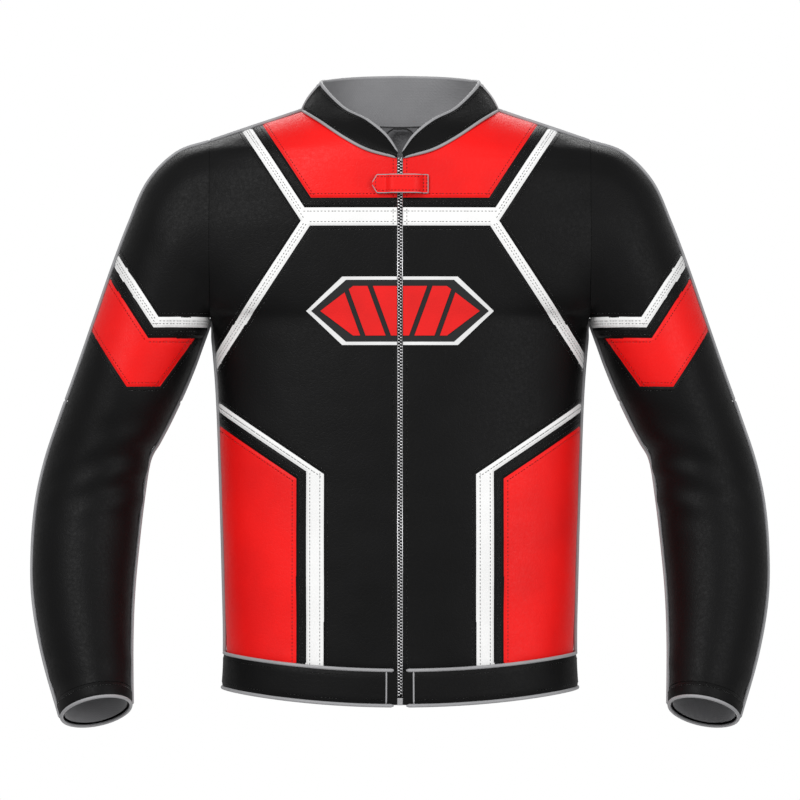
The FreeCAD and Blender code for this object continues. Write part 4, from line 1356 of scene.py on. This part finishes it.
def cad_copy(name, node_name, material):
    """A free copy of a CAD node's mesh, welded and in one material."""
    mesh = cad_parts[node_name].data.copy()
    mesh.name = name
    mesh.materials.clear()
    mesh.materials.append(material)
    piece = bpy.data.objects.new(name, mesh)
    bpy.context.scene.collection.objects.link(piece)
    bm = bmesh.new()
    bm.from_mesh(mesh)
    bmesh.ops.remove_doubles(bm, verts=bm.verts, dist=0.00002)
    bmesh.ops.recalc_face_normals(bm, faces=bm.faces)
    for face in bm.faces:
        face.material_index = 0
        face.smooth = True
    bm.to_mesh(mesh)
    bm.free()
    return piece


def rounded(name, node_name, material, width, body):
    """The CAD node's shape with its edges rounded, standing for the node."""
    piece = cad_copy(name, node_name, material)
    bevel = piece.modifiers.new("rounded", "BEVEL")
    bevel.width, bevel.segments, bevel.angle_limit = width * MM, 2, math.radians(35)
    bevel.harden_normals = True
    finish_piece(piece, body, [node_name])
    return piece


def armour_pad(name, node_name, side, bend):
    """A soft plate with its long edges subdivided, handed to bend."""
    piece = cad_copy(name, node_name, FOAM)
    bm = bmesh.new()
    bm.from_mesh(piece.data)
    for _ in range(3):
        long = [e for e in bm.edges if e.calc_length() > 9 * MM]
        if long:
            bmesh.ops.subdivide_edges(bm, edges=long, cuts=1)
    bmesh.ops.triangulate(bm, faces=[f for f in bm.faces if len(f.verts) > 4])
    bm.to_mesh(piece.data)
    bm.free()
    bend(piece, side)
    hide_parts(node_name)


TOOTH_PITCH = 3.4


def zip_chain():
    count = int((ZIP_LONG - 11) / TOOTH_PITCH)
    for side, sign, shift in (("left", 1, 0.0), ("right", -1, 0.5)):
        bm = bmesh.new()
        for i in range(count):
            z = -2.6 - (i + shift) * TOOTH_PITCH
            made = bmesh.ops.create_cube(bm, size=1.0)["verts"]
            for v in made:
                head = v.co.x * sign < 0
                v.co.x = sign * (0.16 if head else 2.75)
                v.co.z = z + v.co.z * (1.9 if head else 1.35)
                v.co.y = 1.6 + v.co.y * (2.3 if head else 1.8)
        bmesh.ops.bevel(bm, geom=bm.edges, offset=0.26, segments=1, affect="EDGES", profile=0.5)
        spine = [Vector((sign * 2.75, 1.6, z)) for z in spread(-0.8, -(ZIP_LONG - 10), 3)]
        for a, b in zip(spine, spine[1:]):
            made = bmesh.ops.create_cube(bm, size=1.0)["verts"]
            for v in made:
                z = (a.z + b.z) / 2 + v.co.z * (a.z - b.z)
                v.co = Vector((a.x + v.co.x * 0.9, a.y + v.co.y * 1.5, z))
        bm.transform(ZIP_FRAME)
        piece = to_object(f"zip_chain_{side}", bm, [METAL])
        finish_piece(piece, "torso", [f"zip_teeth_{side}"])


TAB_HALF, TAB_TIP, TAB_SHOULDER = 10.0, -31.4, -25.5
TAB_MIDDLE, TAB_TIP_HALF = -29.0, 0.35
TAB_LINE = [(24.3, -1.0), (20.0, -5.2), (15.6, -7.5), (10.0, -7.7), (-4.0, -7.7), (-9.0, -7.3), (-12.0, -5.2),
            (-15.0, -2.9), (-20.0, -2.6), (-31.4, -2.6)]


def tab_y(x):
    """y of the throat tab's back face at x, in the zip's frame, on a smooth curve."""
    rows = [(-a, b) for a, b in TAB_LINE]
    return through(rows, -x)[0]


def tab_reach(x):
    """Half height of the tab at x: full, then tapering to its pointed end."""
    if x > TAB_SHOULDER:
        return TAB_HALF
    return TAB_HALF * (x - TAB_TIP) / (TAB_SHOULDER - TAB_TIP)


def tab_point(u, v):
    """u is x along the tab and v runs from -1 to 1 across it."""
    return Vector((u, tab_y(u), TAB_MIDDLE + v * max(TAB_TIP_HALF, tab_reach(u))))


def throat_tab():
    xs = spread(24.3, -22.0, 48) + spread(-22.6, TAB_TIP + 0.5, 22)
    across = spread(-0.97, 0.97, 15)

    def puff(u, v):
        return 1.7 + 0.45 * (1 - abs(v) ** 4)

    def loop(inset):
        along = spread(23.8 - inset, TAB_TIP + 1 + inset * 1.4, 90)
        shape = [(x, -(tab_reach(x) - inset) / max(TAB_TIP_HALF, tab_reach(x))) for x in along]
        return shape + [(x, -v) for x, v in reversed(shape)]

    rows = [path_on(tab_point, loop(2.4), 2.05, facing_front)]
    tab = shell("throat_tab_strap", tab_point, xs, across, puff, lambda u, v: 0.05, RED, facing_front,
                stitches=rows)
    edge = [p for p, _ in path_on(tab_point, loop(0.1), 1.1, facing_front)]
    cord = tube("tab_edge", smooth_path(edge, 1.5), 0.75)
    into_zip_frame(tab, cord)
    whole = join("throat_tab_leather", [tab, cord])
    finish_piece(whole, "throat_tab", ["throat_tab"])

    def base_point(u, v):
        return Vector((u, -0.4, TAB_MIDDLE + v * TAB_HALF))

    stitched = []
    for x in (26.2, 29.8):
        stitched.append(path_on(base_point, [(x, v) for v in spread(-0.9, 0.9, 60)], 2.4, facing_front))
    base = shell("base", base_point, spread(31.0, 24.8, 10), across,
                 lambda u, v: 2.1 - 0.4 * smooth(u, 28, 31), lambda u, v: -0.4, RED, facing_front,
                 stitches=stitched)
    outline = [(24.9, -1), (31.0, -1), (31.0, 1), (24.9, 1)]
    path = []
    for (ua, va), (ub, vb) in zip(outline, outline[1:] + outline[:1]):
        for k in range(8):
            path.append(base_point(ua + (ub - ua) * k / 8, va + (vb - va) * k / 8) + Vector((0, -1.1, 0)))
    cord = tube("base_edge", path, 0.7, closed=True)
    into_zip_frame(base, cord)
    whole = join("throat_tab_base_leather", [base, cord])
    finish_piece(whole, "torso", ["throat_tab_base"])


BADGE_HALF, BADGE_HIGH, BADGE_Z, BADGE_POINT = 104.0, 38.0, -208.0, 40.0
BADGE_CUT = 44
SLANTS, SLANT_LEAN, SLANT_WIDE = (20.0, 48.0), 16.0, 6


def badge_outline(inset):
    """Half of an elongated hexagon, moved in by inset."""
    half, high, point = BADGE_HALF - inset * 1.5, BADGE_HIGH - inset, BADGE_POINT - inset * 0.35
    low, top, shoulder = BADGE_Z - high, BADGE_Z + high, half - point
    return [(CENTRE, low), (shoulder, low), (half, BADGE_Z), (shoulder, top), (CENTRE, top)]


def badge():
    """Raised rubber badge: a white rim, a black field and slanted red bars."""
    heights = spread(BADGE_Z - BADGE_CUT, BADGE_Z + BADGE_CUT, 50)
    turns = spread(0.0, turn_at(116.0, -214), 60)
    bm = grid(torso, turns, heights)
    outward_from(bm, torso_centre)
    rim, field = badge_outline(0.0), badge_outline(3.6)
    core = badge_outline(10.5)
    slants = []
    bottom, top = BADGE_Z - BADGE_CUT, BADGE_Z + BADGE_CUT
    for x in SLANTS:
        low, high = x - SLANT_LEAN, x + SLANT_LEAN
        slants.append([(low, bottom), (high, top), (high + SLANT_WIDE, top), (low + SLANT_WIDE, bottom)])
    lines = segments_of(rim) + segments_of(field) + segments_of(core)
    for slant in slants:
        lines += [(slant[0], slant[1]), (slant[2], slant[3])]
    cut_along(bm, lines, (0.0,))
    relieve(bm, [], torso_extra)

    def in_slant(c):
        return any(inside(c.x, c.z, s) for s in slants)

    layers = (
        (BADGE_WHITE, 1.5, lambda c: inside(c.x, c.z, rim) and not inside(c.x, c.z, field)),
        (BADGE_BLACK, 0.9, lambda c: inside(c.x, c.z, field) and (not inside(c.x, c.z, core) or in_slant(c))),
        (BADGE_RED, 1.7, lambda c: inside(c.x, c.z, core) and not in_slant(c)),
    )
    pieces = []
    for material, high, test in layers:
        sheet, normals = pick(bm, test)
        for v, n in zip(sheet.verts, normals):
            v.co += n * high
        normals = thicken(sheet, normals, high - 0.05)
        pieces.append(to_object("badge_layer", sheet, [material], normals))
    bm.free()
    left = join("badge_left", pieces)
    right = mirror_piece(left, "badge_right")
    finish_piece(join("chest_badge_rubber", [left, right]), "torso", ["chest_badge"])


def zip_flap():
    """The strip of leather behind the zip that keeps the wind out."""

    def flap_point(u, v):
        return Vector((u, 5.7, v))

    strip = shell("flap", flap_point, spread(-15.0, 15.0, 9), spread(-3.0, -(ZIP_LONG - 1), 90),
                  lambda u, v: 0.0, lambda u, v: -1.2, BLACK, facing_front)
    into_zip_frame(strip)
    strip.name = "zip_wind_flap"
    finish_piece(strip, "torso")


def hardware():
    rounded("zip_slider_metal", "zip_slider", METAL, 0.25, "zip_slider")
    rounded("zip_pull_metal", "zip_pull", METAL, 0.25, "zip_pull")
    rounded("zip_stops_metal", "zip_stops", METAL, 0.25, "torso")
    rounded("hang_loop_tape", "hang_loop", TAPE, 0.3, "torso")
    for side in ("left", "right"):
        armour_pad(f"shoulder_armour_{side}", f"shoulder_pad_{side}", side, blend_shoulder)
        armour_pad(f"elbow_armour_{side}", f"elbow_pad_{side}", side, blend_elbow)
    plate = rounded("back_armour", "back_protector", FOAM, 1.0, "torso")
    kept = {"zip_tape_left": TAPE, "zip_tape_right": TAPE, "tab_hook_pad": GRIP, "tab_loop_pad": GRIP}
    for name, material in kept.items():
        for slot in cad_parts[name].material_slots:
            slot.material = material


# ---- stage and camera ------------------------------------------------------------------


ROOM_LIGHT = 0.46
FLOOR_Z, FLOOR_RADIUS = -790, 430
VIEW_WIDTH, VIEW_MIDDLE_Y, VIEW_MIDDLE_Z = 0.896, -0.1, -0.3069


def area_light(name, place, aim, size, energy):
    data = bpy.data.lights.new(name, "AREA")
    data.shape, data.size, data.size_y = "RECTANGLE", size[0], size[1]
    data.energy = energy
    lamp = bpy.data.objects.new(name, data)
    bpy.context.scene.collection.objects.link(lamp)
    lamp.location = place
    lamp.rotation_euler = (Vector(aim) - Vector(place)).to_track_quat("-Z", "Y").to_euler()


def stage_and_camera():
    scene = bpy.context.scene
    world = bpy.data.worlds.new("studio")
    scene.world = world
    world.use_nodes = True
    nodes, links = world.node_tree.nodes, world.node_tree.links
    seen, mix = nodes.new("ShaderNodeLightPath"), nodes.new("ShaderNodeMixShader")
    links.new(seen.outputs["Is Camera Ray"], mix.inputs["Fac"])
    shades = ((nodes["Background"], ROOM_LIGHT), (nodes.new("ShaderNodeBackground"), 1.0))
    for socket, (shade, strength) in enumerate(shades, start=1):
        shade.inputs["Color"].default_value = (1, 1, 1, 1)
        shade.inputs["Strength"].default_value = strength
        links.new(shade.outputs["Background"], mix.inputs[socket])
    links.new(mix.outputs["Shader"], nodes["World Output"].inputs["Surface"])
    bm = bmesh.new()
    bmesh.ops.create_circle(bm, cap_ends=True, segments=96, radius=FLOOR_RADIUS)
    bmesh.ops.translate(bm, verts=bm.verts, vec=(0, 0, FLOOR_Z))
    paper = Finish("floor_paper")
    paper.colour(paper.texture("Noise", Scale=3.0, Detail=2.0).outputs["Fac"], (0.9,) * 3, (0.93,) * 3)
    paper.set(Roughness=0.9)
    floor = to_object("floor", bm, [paper.material])
    area_light("key", (-1.6, -3.0, 1.6), (0, 0, -0.3), (1.6, 1.6), 74)
    area_light("fill", (2.2, -2.6, 0.4), (0, 0, -0.3), (1.8, 1.8), 38)
    area_light("back", (0.0, 2.8, 1.8), (0, 0, -0.2), (2.4, 1.4), 35)
    camera_data = bpy.data.cameras.new("camera")
    camera_data.lens, camera_data.sensor_width = 300.0, 36.0
    camera = bpy.data.objects.new("camera", camera_data)
    scene.collection.objects.link(camera)
    gap = VIEW_WIDTH * camera_data.lens / camera_data.sensor_width
    camera.location = (0.0, VIEW_MIDDLE_Y - gap, VIEW_MIDDLE_Z)
    camera.rotation_euler = (math.pi / 2, 0, 0)
    camera_data.clip_end = 60.0
    scene.camera = camera
    scene.view_settings.view_transform = "Standard"
    scene.view_settings.look = "None"


stage_and_camera()
place_torso()
place_sleeves()
body_lining()
sleeve_lining()
collar_bands()
waist_bands()
cuffs()
piping()
zip_chain()
zip_flap()
throat_tab()
badge()
hardware()
